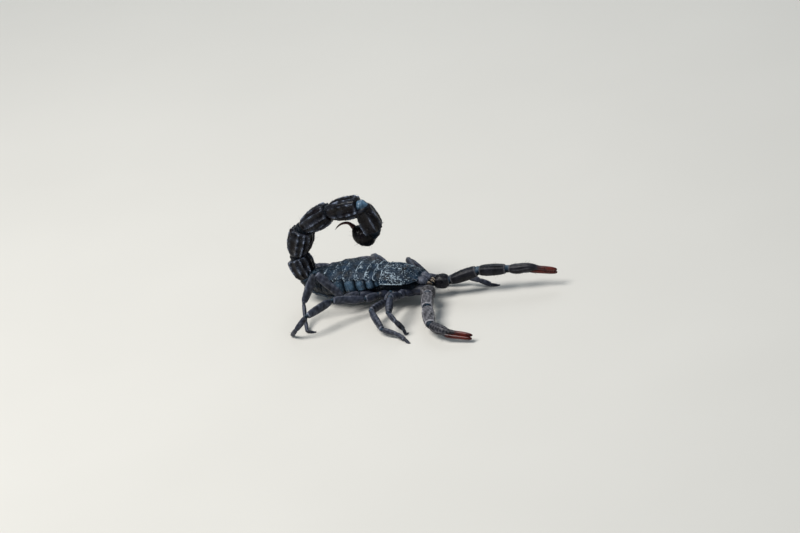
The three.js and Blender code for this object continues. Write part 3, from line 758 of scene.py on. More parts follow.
def carapace_surface(u, v):
    """The carapace's outer surface, without its small relief."""
    x = u * CARAPACE_LENGTH
    y = v * profile(CARAPACE_HALF_WIDTH, u)
    front = smooth_step(u, 0.9, 1.0)
    margin = profile(CARAPACE_MARGIN, u)
    dome = np.clip(1 - np.abs(v) ** 2.4, 0, 1) ** 0.6
    z = margin + (profile(CARAPACE_CREST, u) - margin) * dome
    z = z - 1.1 * front * np.clip(1 - np.abs(v) ** 3, 0, 1) + 1.1 * smooth_step(u, 0.72, 1.0) * np.abs(v) ** 4
    x = x - 0.45 * front * np.exp(-(y / 1.2) ** 2) - 0.5 * front * np.abs(v) ** 4
    return np.stack([x, y, z], -1)


def make_carapace():
    u = np.linspace(0, 1, 100)[:, None]
    v = np.sin(np.linspace(-1, 1, 150) * np.pi / 2)[None, :]
    u, v = np.broadcast_arrays(u, v)
    base = carapace_surface(u, v)
    x, y = base[..., 0], base[..., 1]
    edge = np.abs(v)
    mound = np.exp(-((x - EYE_X) / 1.9) ** 2 - (y / 1.5) ** 2)
    between_eyes = np.exp(-((x - EYE_X) / 1.2) ** 2 - (y / 0.28) ** 2)
    brows = sum(np.exp(-((x - EYE_X) / 1.0) ** 2 - ((y - side * 0.62) / 0.26) ** 2) for side in (-1, 1))
    middle_furrow = np.exp(-(y / 0.42) ** 2) * (
        smooth_step(x, 0.8, 2.2) * (1 - smooth_step(x, 6.4, 7.4))
        + smooth_step(x, 10.4, 11.4) * (1 - smooth_step(x, 14, 15)))
    bow = 1.9 + 0.36 * np.clip(x - 1.0, 0, 9) + 0.04 * np.clip(x - 6, 0, 9) ** 2
    side_furrow = (np.exp(-((np.abs(y) - bow) / 0.42) ** 2)
                   * smooth_step(x, 0.6, 2.0) * (1 - smooth_step(x, 10.5, 12.5)))
    cross_furrow = np.exp(-((x - 5.6 - 0.18 * np.abs(y)) / 0.55) ** 2) * (1 - smooth_step(edge, 0.55, 0.85))
    rear_groove = np.exp(-((x - 0.95) / 0.3) ** 2)
    rim = smooth_step(edge, 0.985, 0.995)
    front_rim = smooth_step(x, CARAPACE_LENGTH - 1.0, CARAPACE_LENGTH - 0.5)
    rear_rim = 1 - smooth_step(x, 0.15, 0.6)
    height = 0.6 * mound - 0.22 * between_eyes + 0.16 * brows - 0.34 * middle_furrow - 0.3 * side_furrow
    height += -0.24 * cross_furrow - 0.12 * rear_groove + 0.22 * rim + 0.1 * front_rim + 0.1 * rear_rim
    height += 0.1 * wave(base, 3.4, 3) + 0.04 * wave(base, 1.1, 4)
    smoothness = np.clip(middle_furrow + 0.8 * side_furrow + 1.1 * mound + rim, 0, 1)
    crowd = (0.35 + 0.45 * (1 - smooth_step(x, 4, 11)) + 0.5 * smooth_step(edge, 0.5, 0.9)
             + 0.25 * wave(base, 2.4, 9))
    grain = np.clip(crowd * (1 - smoothness), 0.02, 1)
    network = np.abs(wave(base, 2.6, 12)) < 0.22
    worn = 0.6 + 0.4 * wave(base, 1.3, 14)
    near_rear = 1 - 0.75 * smooth_step(u, 0.5, 0.75)
    dust = np.clip(0.9 * rim * near_rear * (0.4 + 0.6 * worn) + 0.45 * front_rim + 0.5 * rear_rim * worn
                   + 0.14 + 0.42 * network - 0.3 * smooth_step(x, 9, 13) + 0.2 * wave(base, 4.0, 13)
                   - 0.5 * side_furrow - 0.6 * smoothness * (1 - rim), 0, 1)
    finished(plate(base, height, CARAPACE_THICKNESS, 1, grain, dust),
             "carapace_shell", "body_shell", "carapace",
             grain={"Spacing": 0.00034, "Density": 1e7, "Size": 0.00018, "Flatness": 0.8, "Paleness": 0.9})


def ball(radii, facing, centre, rings=16, around=20):
    """A rounded lens, its axis along facing."""
    start = np.asarray(centre, float) - unit(facing) * radii[2]
    end = np.asarray(centre, float) + unit(facing) * radii[2]
    side = [1, 0, 0] if abs(unit(facing)[0]) < 0.8 else [0, 1, 0]
    t = np.linspace(0, 1, rings)
    s = (1 - np.cos(np.pi * t)) / 2
    angle = np.arange(around) / around * TAU
    _, left, over = directions([start, end], s, side)
    r = np.sqrt(np.clip(1 - (2 * s - 1) ** 2, 0, 1))[:, None, None]
    cosine, sine = np.cos(angle)[None, :, None], np.sin(angle)[None, :, None]
    return curve_at([start, end], s)[:, None] + r * (
        left[:, None] * cosine * radii[0] + over[:, None] * sine * radii[1])


def make_eyes():
    for name, side in SIDES:
        y = side * EYE_SPACING / 2
        u = EYE_X / CARAPACE_LENGTH
        ground = carapace_surface(np.array(u), np.array(y / profile(CARAPACE_HALF_WIDTH, np.array(u))))
        centre = ground + [0, side * 0.08, 0.5]
        lens = Shape()
        lens.tube(ball((EYE_RADIUS, EYE_RADIUS, 0.42), (0.12, side * 0.55, 0.8), centre))
        finished(lens, f"median_eye_lens_{name}", "eye_lens", f"median_eye_{name}")
    beads_of_glass = Shape()
    sockets = Shape()
    for side in (-1, 1):
        for u, v in SIDE_EYES:
            place = carapace_surface(np.array(u), np.array(side * v)) + [0.05, side * 0.16, 0.12]
            beads_of_glass.tube(ball((SIDE_EYE_RADIUS,) * 3, (0.3, side, 0.35), place, 10, 14))
            sockets.tube(ball((SIDE_EYE_RADIUS * 1.4, SIDE_EYE_RADIUS * 1.4, SIDE_EYE_RADIUS),
                              (0.3, side, 0.35), place - np.array([0.03, side * 0.09, 0.05]), 10, 14))
    finished(beads_of_glass, "side_eye_lenses", "eye_lens")
    finished(sockets, "side_eye_sockets", "body_shell")


# ---------- abdomen ----------

def trunk_point(x, degrees, raised, fill=1.0):
    """A place on the abdomen at x and at an angle around it (0 left side, 90 top), raised off its surface."""
    s = (x - TRUNK_START) / (TRUNK_END - TRUNK_START)
    angle = np.radians(degrees)
    middle = profile(TRUNK_MIDDLE, s)
    top = profile(TRUNK_TOP, s) - middle
    bottom = middle - profile(TRUNK_BOTTOM, s)
    tilt = np.radians(profile(TRUNK_TILT, s))
    side = signed_power(np.cos(angle), SECTION_ROUNDNESS)
    up = signed_power(np.sin(angle), SECTION_ROUNDNESS)
    y = fill * (profile(TRUNK_HALF_WIDTH, s) * side + raised * np.cos(angle))
    z = fill * (np.where(up > 0, top, bottom) * up + raised * np.sin(angle))
    return np.stack([x + z * np.sin(tilt), y, middle + z * np.cos(tilt)], -1)


def body_plate(front, rear, from_angle, to_angle, rise, rows=44, columns=120):
    """A curved plate's grids: the place along it (0 front, 1 rear), across it (-1 to 1), x, and its base."""
    u = np.sin(np.linspace(0, 1, rows) * np.pi / 2)[:, None]
    v = np.sin(np.linspace(-1, 1, columns) * np.pi / 2)[None, :]
    u, v = np.broadcast_arrays(u, v)
    corner = 10.0 * (1 - u) ** 3 + 7.0 * smooth_step(u, 0.82, 1.0)
    half = (to_angle - from_angle) / 2
    degrees = (from_angle + to_angle) / 2 + (half - np.sign(half) * corner) * v
    x = front + (rear - PLATE_OVERLAP - front) * u
    return u, v, x, trunk_point(x, degrees, rise(u, v))


def make_tergites():
    for i, (front, rear) in enumerate(zip(TERGITE_EDGES, TERGITE_EDGES[1:])):
        last = i == len(TERGITE_EDGES) - 2
        overlap_rise = 0.0 if last else 0.38

        def rise(u, v):
            lip = overlap_rise * smooth_step(u, 0.35, 0.95)
            tuck = -0.42 * (1 - smooth_step(u, 0.0, 0.22))
            return PLATE_RISE + lip + tuck * (0 if i == 0 else 1) - 0.16 * smooth_step(np.abs(v), 0.94, 1.0)

        u, v, x, base = body_plate(front, rear, 180 - TERGITE_SIDE_ANGLE, TERGITE_SIDE_ANGLE, rise)
        middle = np.exp(-(v / 0.035) ** 2) * smooth_step(u, 0.3, 0.7)
        rear_rim = smooth_step(u, 0.955, 0.985)
        side_rim = smooth_step(np.abs(v), 0.965, 0.99)
        groove = np.exp(-((u - 0.9) / 0.03) ** 2)
        keels = middle * 0.16
        if last:
            for at in (0.3, 0.62):
                line = np.exp(-((np.abs(v) - at + 0.06 * u) / 0.035) ** 2)
                keels = keels + 0.3 * line * smooth_step(u, 0.25, 0.5) * beads(u, 11)
        height = keels + 0.1 * rear_rim + 0.08 * side_rim - 0.07 * groove
        height = height + 0.06 * wave(base, 2.2, 20 + i) + 0.03 * wave(base, 0.9, 40 + i)
        grain = np.clip(0.15 + 0.75 * smooth_step(u, 0.25, 0.85) + 0.3 * wave(base, 1.8, 60 + i), 0, 1)
        grain = grain * (1 - rear_rim) * (1 - side_rim)
        worn = np.clip(0.45 + 0.6 * wave(base, 1.3, 80 + i), 0, 1)
        forward = 1 - 0.13 * i
        pale_band = smooth_step(x, rear - 0.1, rear - 0.3)
        dust = np.clip(pale_band * (0.25 + 0.6 * worn) * forward + 0.5 * side_rim * worn + 0.3 * keels
                       + 0.25 * forward * wave(base, 3.0, 90 + i)
                       + 0.4 * forward * smooth_step(u, 0.4, 0.95), 0, 1)
        granules = {"Spacing": 0.0003, "Density": 8e6, "Size": 0.00014, "Flatness": 0.75,
                    "Paleness": 0.55 - 0.05 * i, "Seed": SEED + i}
        finished(plate(base, height, PLATE_THICKNESS, 1, grain, dust), f"tergite_{i + 1}_shell", "body_shell",
                 f"tergite_{i + 1}", grain=granules)


def make_sternites():
    for i, (front, rear) in enumerate(zip(STERNITE_EDGES, STERNITE_EDGES[1:])):
        last = i == len(STERNITE_EDGES) - 2

        def rise(u, v):
            lip = (0.0 if last else 0.2) * smooth_step(u, 0.5, 0.97)
            tuck = -0.35 * (1 - smooth_step(u, 0, 0.2))
            return PLATE_RISE + lip + tuck - 0.15 * smooth_step(np.abs(v), 0.94, 1.0)

        u, v, _, base = body_plate(front, rear, -STERNITE_SIDE_ANGLE, STERNITE_SIDE_ANGLE - 180, rise)
        furrows = sum(np.exp(-((v - at) / 0.03) ** 2) for at in (-0.26, 0.26)) * smooth_step(u, 0.15, 0.4)
        # The slits of the book lungs, one on each side of all but the last plate.
        slits = sum(np.exp(-((v - at) / 0.075) ** 2 - ((u - 0.45 - 0.5 * (abs(at) - abs(v))) / 0.06) ** 2)
                    for at in (-0.6, 0.6)) * (0 if last else 1)
        rear_rim = smooth_step(u, 0.95, 0.985)
        keels = 0
        if last:
            lines = sum(np.exp(-((v - at) / 0.04) ** 2) for at in (-0.55, -0.2, 0.2, 0.55))
            keels = lines * beads(u, 9) * smooth_step(u, 0.2, 0.5)
        height = (0.08 * rear_rim - 0.1 * furrows - 0.28 * slits + 0.22 * keels
                  + 0.05 * wave(base, 2.5, 100 + i))
        dust = np.clip(0.35 * rear_rim + 0.3 * keels, 0, 1)
        finished(plate(base, height, PLATE_THICKNESS, -1, np.zeros_like(dust), dust),
                 f"sternite_{i + 3}_shell", "body_shell", f"sternite_{i + 3}")


def pleats(x, degrees):
    """How far the flanks' soft wall stands out, a folded bulge for each segment, and its painted highlight.
    """
    level = np.degrees(np.arcsin(np.clip(np.sin(np.radians(degrees)), -1, 1)))
    flank = np.exp(-((level + 7) / 25) ** 4)
    share = np.zeros_like(x)
    for front, rear in zip(TERGITE_EDGES, TERGITE_EDGES[1:]):
        inside = (x <= front) & (x > rear)
        share = np.where(inside, (front - x) / (front - rear), share)
    slant = share + 0.004 * level
    bulge = np.abs(np.sin(np.pi * np.clip(slant, 0, 1))) ** 0.6
    folds = 0.09 * np.sin(TAU * (slant * 4 + 0.012 * level)) + 0.07 * np.sin(np.radians(level * 19 + x * 50))
    return flank * (0.95 * bulge + folds * bulge) - 0.3 * np.exp(-((level + 3) / 30) ** 4), flank * bulge


def make_skin():
    """All soft skin in one piece: the flanks and belly wall, and the folds inside every joint."""
    skin = Shape()
    along, around = 230, 220
    t = np.linspace(0, 1, along)
    s = 0.75 * t + 0.25 * (1 - np.cos(np.pi * t)) / 2
    degrees = np.arange(around)[None, :] / around * 360
    x = (TRUNK_START + (TRUNK_END - TRUNK_START) * s)[:, None]
    x, degrees = np.broadcast_arrays(x, -degrees)
    fill = np.sqrt(np.clip(1 - np.abs(2 * s - 1) ** 14, 0, 1))[:, None]
    raised, light = pleats(x, degrees)
    # The bulges' crests get a painted highlight, which fades into painted shade towards the rear.
    # The rings run towards the tail, so the angle falls from one point to the next to keep the faces outward.
    skin.tube(trunk_point(x, 180 + degrees, raised, fill),
              dust=0.5 * light ** 2 * smooth_step(x, *FLANK_SHADE_ENDS))
    breast = [(16.2, 0, 8.0), (8, 0, 8.4), (0, 0, 8.0), (-9.5, 0, 8.0)]
    grid, _ = limb(breast, [4.6, 5.6, 6.4, 6.6, 6.2], [2.2, 2.6, 2.9, 2.9, 2.6], ends=8, box=0.8)
    skin.tube(grid, dust=0.0)

    def creases(s, angle, grid):
        return 1 + 0.05 * np.sin(TAU * 4.5 * s)

    for points, (wide, high, wide_after, high_after), pale in JOINT_FOLDS:
        grid, _ = limb(points, [wide] * 2 + [wide_after] * 2, [high] * 2 + [high_after] * 2, relief=creases,
                       along=26, around=28, ends=6)
        # Where a fold faces up it gets a painted highlight; worn only makes its strength patchy.
        worn = 1 + 0.5 * wave(grid, 1.4, 15)
        skin.tube(grid, dust=pale * worn * smooth_step(normals_of(grid)[..., 2], -0.2, 0.7))
    finished(skin, "soft_skin", "membrane", "abdomen_core")


JOINT_FOLDS = []


def fold(points, sizes, pale=0.15):
    """Notes a fold of skin through three points at a joint. sizes are half widths and heights before and
    after it (width, height, width, height), and pale says how strong the painted highlight on its top is."""
    JOINT_FOLDS.append((points, sizes, pale))


def bend(joint, before, back, after, on):
    """Three points through a joint: a way back towards one place, the joint, and a way on to another."""
    return [towards(joint, before, back), joint, towards(joint, after, on)]


def towards(start, end, distance):
    start, end = np.asarray(start, float), np.asarray(end, float)
    return start + unit(end - start) * distance


# ---------- underside ----------

def make_breast():
    """Leg bases, breastplate, genital covers and arm bases."""
    shape = Shape()

    def keel(s, angle, grid):
        return 1 + 0.1 * ridge(angle, 90, 26) * beads(s, 14) + 0.08 * ridge(angle, 200, 20)

    for side in (-1, 1):
        for index, path in enumerate(COXA_PATHS):
            points = mirrored(path + [LEG_ROOTS[index]], -side)
            thick = 1.55 + 0.12 * index
            grid, ahead = limb(points, [thick * 0.8, thick, thick, thick * 0.95],
                               [thick * 0.7, thick * 0.85, thick, thick * 0.95],
                               relief=keel, ends=7, along=44)
            rim = smooth_step(np.linspace(0, 1, len(grid)), 0.86, 0.93)[:, None]
            shape.tube(grid, ahead, dust=0.12 * rim, grain=0.3, hair=0.25)
    for name, side in SIDES:
        points = mirrored([(8.5, 2.6, 6.4), (13.5, 3.2, 6.6)], side) + [ARM_JOINTS[name][0]]
        grid, ahead = limb(points, [1.5, 2.1, 2.2, 1.9], [1.3, 1.9, 2.1, 1.8], ends=7)
        shape.tube(grid, ahead, dust=0.1, grain=0.5, hair=0.3)
        lobe = mirrored([(6.0, 0.9, 4.7), (10.5, 0.8, 4.8), (15.4, 0.9, 5.7)], side)
        grid, ahead = limb(lobe, [0.5, 0.95, 0.7], [0.5, 0.8, 0.6], ends=5)
        shape.tube(grid, ahead, dust=0.15, hair=0.3)
    plates = (([(5.2, 0, 4.3), (3.0, 0, 4.25), (1.4, 0, 4.3)], [0.5, 1.0, 1.5, 1.4]),
              ([(1.0, 0.75, 4.3), (-1.2, 0.75, 4.3)], [0.9, 0.95, 0.7]),
              ([(1.0, -0.75, 4.3), (-1.2, -0.75, 4.3)], [0.9, 0.95, 0.7]),
              ([(-1.6, 0, 4.25), (-4.8, 0, 4.1)], [2.2, 2.5, 2.2]))
    for points, widths in plates:
        grid, ahead = limb(points, widths, [0.6] * 3, ends=6, box=0.8)
        shape.tube(grid, ahead, dust=0.1)
    finished(shape, "leg_bases_and_breastplate", "body_shell", "coxae_and_sternum",
             grain={"Spacing": 0.0005, "Density": 5e6, "Size": 0.0001, "Paleness": 0.3}, coat="head",
             material="leg_shell")


def make_combs():
    """The comb organs: a ribbed back with a row of flat teeth along its rear edge."""

    def ribs(s, angle, grid):
        return 1 + 0.07 * np.cos(TAU * 9 * s)

    for name, side in SIDES:
        points = mirrored(COMB_PATH, side)
        shape = Shape()
        grid, ahead = limb(points, [0.75, 0.95, 0.55], [0.4, 0.42, 0.32], relief=ribs, along=110, around=20)
        shape.tube(grid, ahead, hair=0.2)
        for s in np.linspace(0.05, 0.97, COMB_TEETH):
            root = curve_at(points, np.array([s]))[0]
            along, left, _ = (d[0] for d in directions(points, np.array([s]), UP))
            back = unit(left * side - along * 0.15)
            if back[0] > 0:
                back = -back
            long = 1.55 * math.sin(math.pi * (0.18 + 0.72 * s)) ** 0.6
            tooth, way = limb([root + back * 0.4, root + back * (0.5 + long)], [0.13, 0.15, 0.1],
                              [0.2, 0.24, 0.16], along=8, around=8, ends=4)
            shape.tube(tooth, way, dust=0.5)
        finished(shape, f"comb_{name}_organ", "comb", f"comb_{name}")


def make_chelicerae():
    def lobed(s, angle, grid):
        return 1 + 0.02 * wave(grid, 1.6, 70) - 0.05 * np.exp(-((s - 0.8) / 0.03) ** 2)

    def teeth(s, angle, grid):
        return 1 + 0.3 * ridge(angle, 270, 40) * beads(s, 4, 1.0)

    for name, side in SIDES:
        grid, ahead = limb(mirrored(JAW_PATH, side), [1.4, 1.7, 1.65, 1.05], [1.4, 1.65, 1.6, 1.0],
                           relief=lobed,
                           along=60, around=48, ends=6)
        shape = Shape()
        shape.tube(grid, ahead, dust=0.5 + 0.2 * wave(grid, 1.6, 71), hair=0.1)
        fingers = Shape()
        for reach, drop, inward, thick in ((2.5, 0.5, 0.2, 0.62), (2.3, 1.2, 0.75, 0.5)):
            root = np.array([17.0, side * (2.1 - inward), 9.3 - drop * 0.55])
            tip = root + [reach, -side * 0.55, -0.55 - 0.2 * drop]
            middle = (root + tip) / 2 + [0.1, side * 0.12, 0.22]
            grid, ahead = limb([root, middle, tip], [thick, thick * 0.85, thick * 0.3], relief=teeth, ends=4,
                               along=36, around=20)
            top = ridge(np.arange(20) / 20 * TAU, 60, 40)[None, :]
            fingers.tube(grid, ahead, dust=0.9 * top, hair=0.6)
        finished(shape, f"chelicera_{name}_jaw", "body_shell", f"chelicera_{name}", coat="head",
                 material="leg_shell")
        finished(fingers, f"chelicera_{name}_fingers", "finger_and_sting_shell", coat="head", material="jaw")


# ---------- tail ----------

def off_the_middle(angle):
    """Degrees from the middle of a ring's outer side, 0 to 180 on both sides."""
    return np.abs((np.degrees(angle) - 90 + 180) % 360 - 180)


def facets(angle, keels, hollow):
    """Radius around a tail ring, with a shallow hollow between each keel and the next."""
    degrees = off_the_middle(angle)
    lines = sorted({0, *keels, 180})
    radius = np.ones_like(degrees)
    for low, high in zip(lines, lines[1:]):
        share = np.clip((degrees - low) / (high - low), 0, 1)
        inside = (degrees >= low) & (degrees <= high)
        radius = np.where(inside, 1 - hollow * np.sin(np.pi * share) * (high - low) / 35, radius)
    return radius


def make_tail():
    for i, (ring, keels, reach) in enumerate(zip(TAIL_RINGS, RING_KEELS, RING_REACH)):
        last = ring is TAIL_RINGS[-1]
        start, end = np.array(ring["start"]), np.array(ring["end"])
        start, end = towards(start, end, reach[0]), towards(end, start, reach[1])
        length = np.linalg.norm(end - start)
        outward = unit(np.cross(unit(end - start), [0.0, 1.0, 0.0]))
        marks = {}

        def relief(s, angle, grid):
            gaps = [off_the_middle(angle) - k for k in keels]
            rise = sum(np.exp(-(gap / 5.0) ** 2) for gap in gaps)
            broad = np.exp(-(np.min(np.abs(gaps), axis=0) / 11) ** 2)
            whole = smooth_step(s, 0.08, 0.22) * (1 - smooth_step(s, 0.93, 0.99))
            bead = beads(s, round(length / 0.62), 0.5)
            collar = np.exp(-((s - 0.95) / 0.03) ** 2)
            neck = np.exp(-((s - 0.07) / 0.035) ** 2)
            spur = sum(ridge(angle, 90 + side * keels[-1], 9) for side in (-1, 1))
            spur = spur * smooth_step(s, 0.7, 0.93) * (1 - smooth_step(s, 0.96, 0.99))
            # Pale blue-grey on keels, collars and neck, and a faint patchy film: rubbed wear and a painted
            # highlight.
            rubbed = np.clip(0.5 + 0.5 * wave(grid, 3.6, 230 + i), 0.1, 1)
            on_keels = rise * whole * (0.2 + 0.35 * bead) + 0.35 * broad * whole
            marks["dust"] = np.clip((on_keels + (0.1 if last else 0.4) * collar) * rubbed + 0.15 * neck
                                    + 0.08 * wave(grid, 3.0, 240 + i), 0, 1)
            marks["grain"] = np.clip(0.16 + 0.2 * wave(grid, 2.5, 7 + i) - rise, 0, 1) * whole
            inner = np.clip(-np.sin(angle), 0, 1) ** 1.5
            belly = inner * (0.1 * np.exp(-((s - 0.68) / 0.2) ** 2) - 0.1 * (1 - smooth_step(s, 0.05, 0.35)))
            return (1 + (facets(angle, keels, 0.1) - 1) * whole + 0.085 * rise * whole * bead + 0.03 * collar
                    - 0.05 * neck + 0.07 * spur + 0.012 * wave(grid, 1.7, 200 + i) + belly)

        base = 0.78 if last else 0.68
        grid, ahead = limb([start, end], [ring["half_width"] * k for k in (base, 0.93, 1.0, 0.94)],
                           [ring["half_depth"] * k for k in (base, 0.94, 1.0, 0.94)], relief=relief,
                           along=110, around=180, ends=16, box=0.88, reference=outward)
        shape = Shape()
        # Only the last two rings are bristly.
        shape.tube(grid, ahead, dust=marks["dust"], grain=marks["grain"], hair=0.6 if i > 2 else 0.2)
        finished(shape, f"tail_ring_{i + 1}_shell", "tail_shell", f"tail_ring_{i + 1}", coat="tail",
                 grain={"Spacing": 0.0005, "Density": 4e6, "Size": 0.00011, "Paleness": 0.4,
                        "Seed": SEED + 30 + i})


def make_tail_folds():
    first, last = TAIL_RINGS[0], TAIL_RINGS[-1]
    fold([(-30.5, 0, 8.4), (-34.4, 0, 8.3), towards(first["start"], first["end"], 1.6)], (4.9, 4.6, 3.5, 3.8))
    for one, two in zip(TAIL_RINGS, TAIL_RINGS[1:]):
        joint = (np.array(one["end"]) + np.array(two["start"])) / 2
        full, pale = 0.68, 0.0
        if two is last:
            # The sharpest bend of the tail shows a bulge of skin on its outer side, with a bright painted
            # highlight.
            joint = joint + [0.2, 0, 0.9]
            full, pale = 0.6, 0.55
        fold([towards(one["end"], one["start"], 1.2), joint, towards(two["start"], two["end"], 1.2)],
             (one["half_width"] * full, one["half_depth"] * full,
              two["half_width"] * 0.64, two["half_depth"] * 0.64), pale)
    fold([towards(last["end"], last["start"], 1.0), (-4.0, 3.85, 27.6), (-5.6, 3.9, 25.6)],
         (2.6, 2.6, 2.0, 2.0))


def make_telson():
    sideways = np.array([0.0, -1.0, 0.0])
    marks = {}

    def lumpy(s, angle, grid):
        under = 0.35 + 0.65 * np.clip(-np.sin(angle), 0, 1)
        rows = sum(ridge(angle, at, 9) for at in (200, 235, 270, 305, 340))
        bumps = rows * beads(s, 9, 0.9)
        marks["dust"] = 0.25 * np.clip(bumps, 0, 1)
        marks["grain"] = 0.55 * np.clip(under + 0.2 * wave(grid, 2.0, 33), 0, 1)
        return 1 + 0.035 * under * bumps + 0.02 * wave(grid, 1.6, 31)

    grid, ahead = limb(VESICLE_PATH, VESICLE_HALF_WIDTH, VESICLE_HALF_HEIGHT, relief=lumpy,
                       along=90, around=110, ends=6, reference=sideways)
    bulb = Shape()
    bulb.tube(grid, ahead, dust=marks["dust"], grain=marks["grain"], hair=0.8)
    finished(bulb, "telson_bulb", "tail_shell", "telson_vesicle", coat="tail",
             grain={"Spacing": 0.00045, "Density": 5e6, "Size": 0.00015, "Paleness": 0.3, "Seed": SEED + 41})
    grid, ahead = limb(STING_PATH, STING_RADIUS, along=70, around=28, ends=30, reference=sideways)
    sting = Shape()
    s = np.linspace(0, 1, len(grid))[:, None]
    sting.tube(grid, ahead, dust=0.15 * (1 - smooth_step(s, 0.0, 0.3)),
               hair=0.25 * (1 - smooth_step(s, 0.1, 0.3)))
    finished(sting, "telson_sting_point", "finger_and_sting_shell", "telson_sting", coat="tail",
             material="sting")


# ---------- arms ----------

ARM_KEELS = (40, 140, 220, 320)


def arm_segment(points, sections, count, seed, pale_share, ends=14, box=0.86):
    """One arm segment, with count granules on each keel and a raised rim at each end."""
    marks = {}

    def relief(s, angle, grid):
        whole = smooth_step(s, 0.06, 0.18) * (1 - smooth_step(s, 0.89, 0.95))
        rise = sum(ridge(angle, k, 8) for k in ARM_KEELS) * whole
        bead = beads(s, count, 0.55)
        collar = np.exp(-((s - 0.94) / 0.022) ** 2)
        base = np.exp(-((s - 0.06) / 0.03) ** 2)
        marks["dust"] = np.clip((0.2 + 0.9 * pale_share) * rise * bead + (0.35 + 1.4 * pale_share) * collar
                                + 0.4 * base + pale_share * (1 + 0.6 * wave(grid, 1.2, seed + 2)), 0, 1)
        marks["grain"] = np.clip(0.5 + 0.4 * wave(grid, 1.9, seed) - 0.8 * (collar + base), 0, 1) * whole
        return 1 + 0.07 * rise * bead + 0.06 * collar - 0.06 * base + 0.016 * wave(grid, 1.5, seed + 1)

    grid, ahead = limb(points, *sections, relief=relief, along=96, around=88, ends=ends, box=box)
    shape = Shape()
    shape.tube(grid, ahead, dust=marks["dust"], grain=marks["grain"], hair=0.5)
    return shape


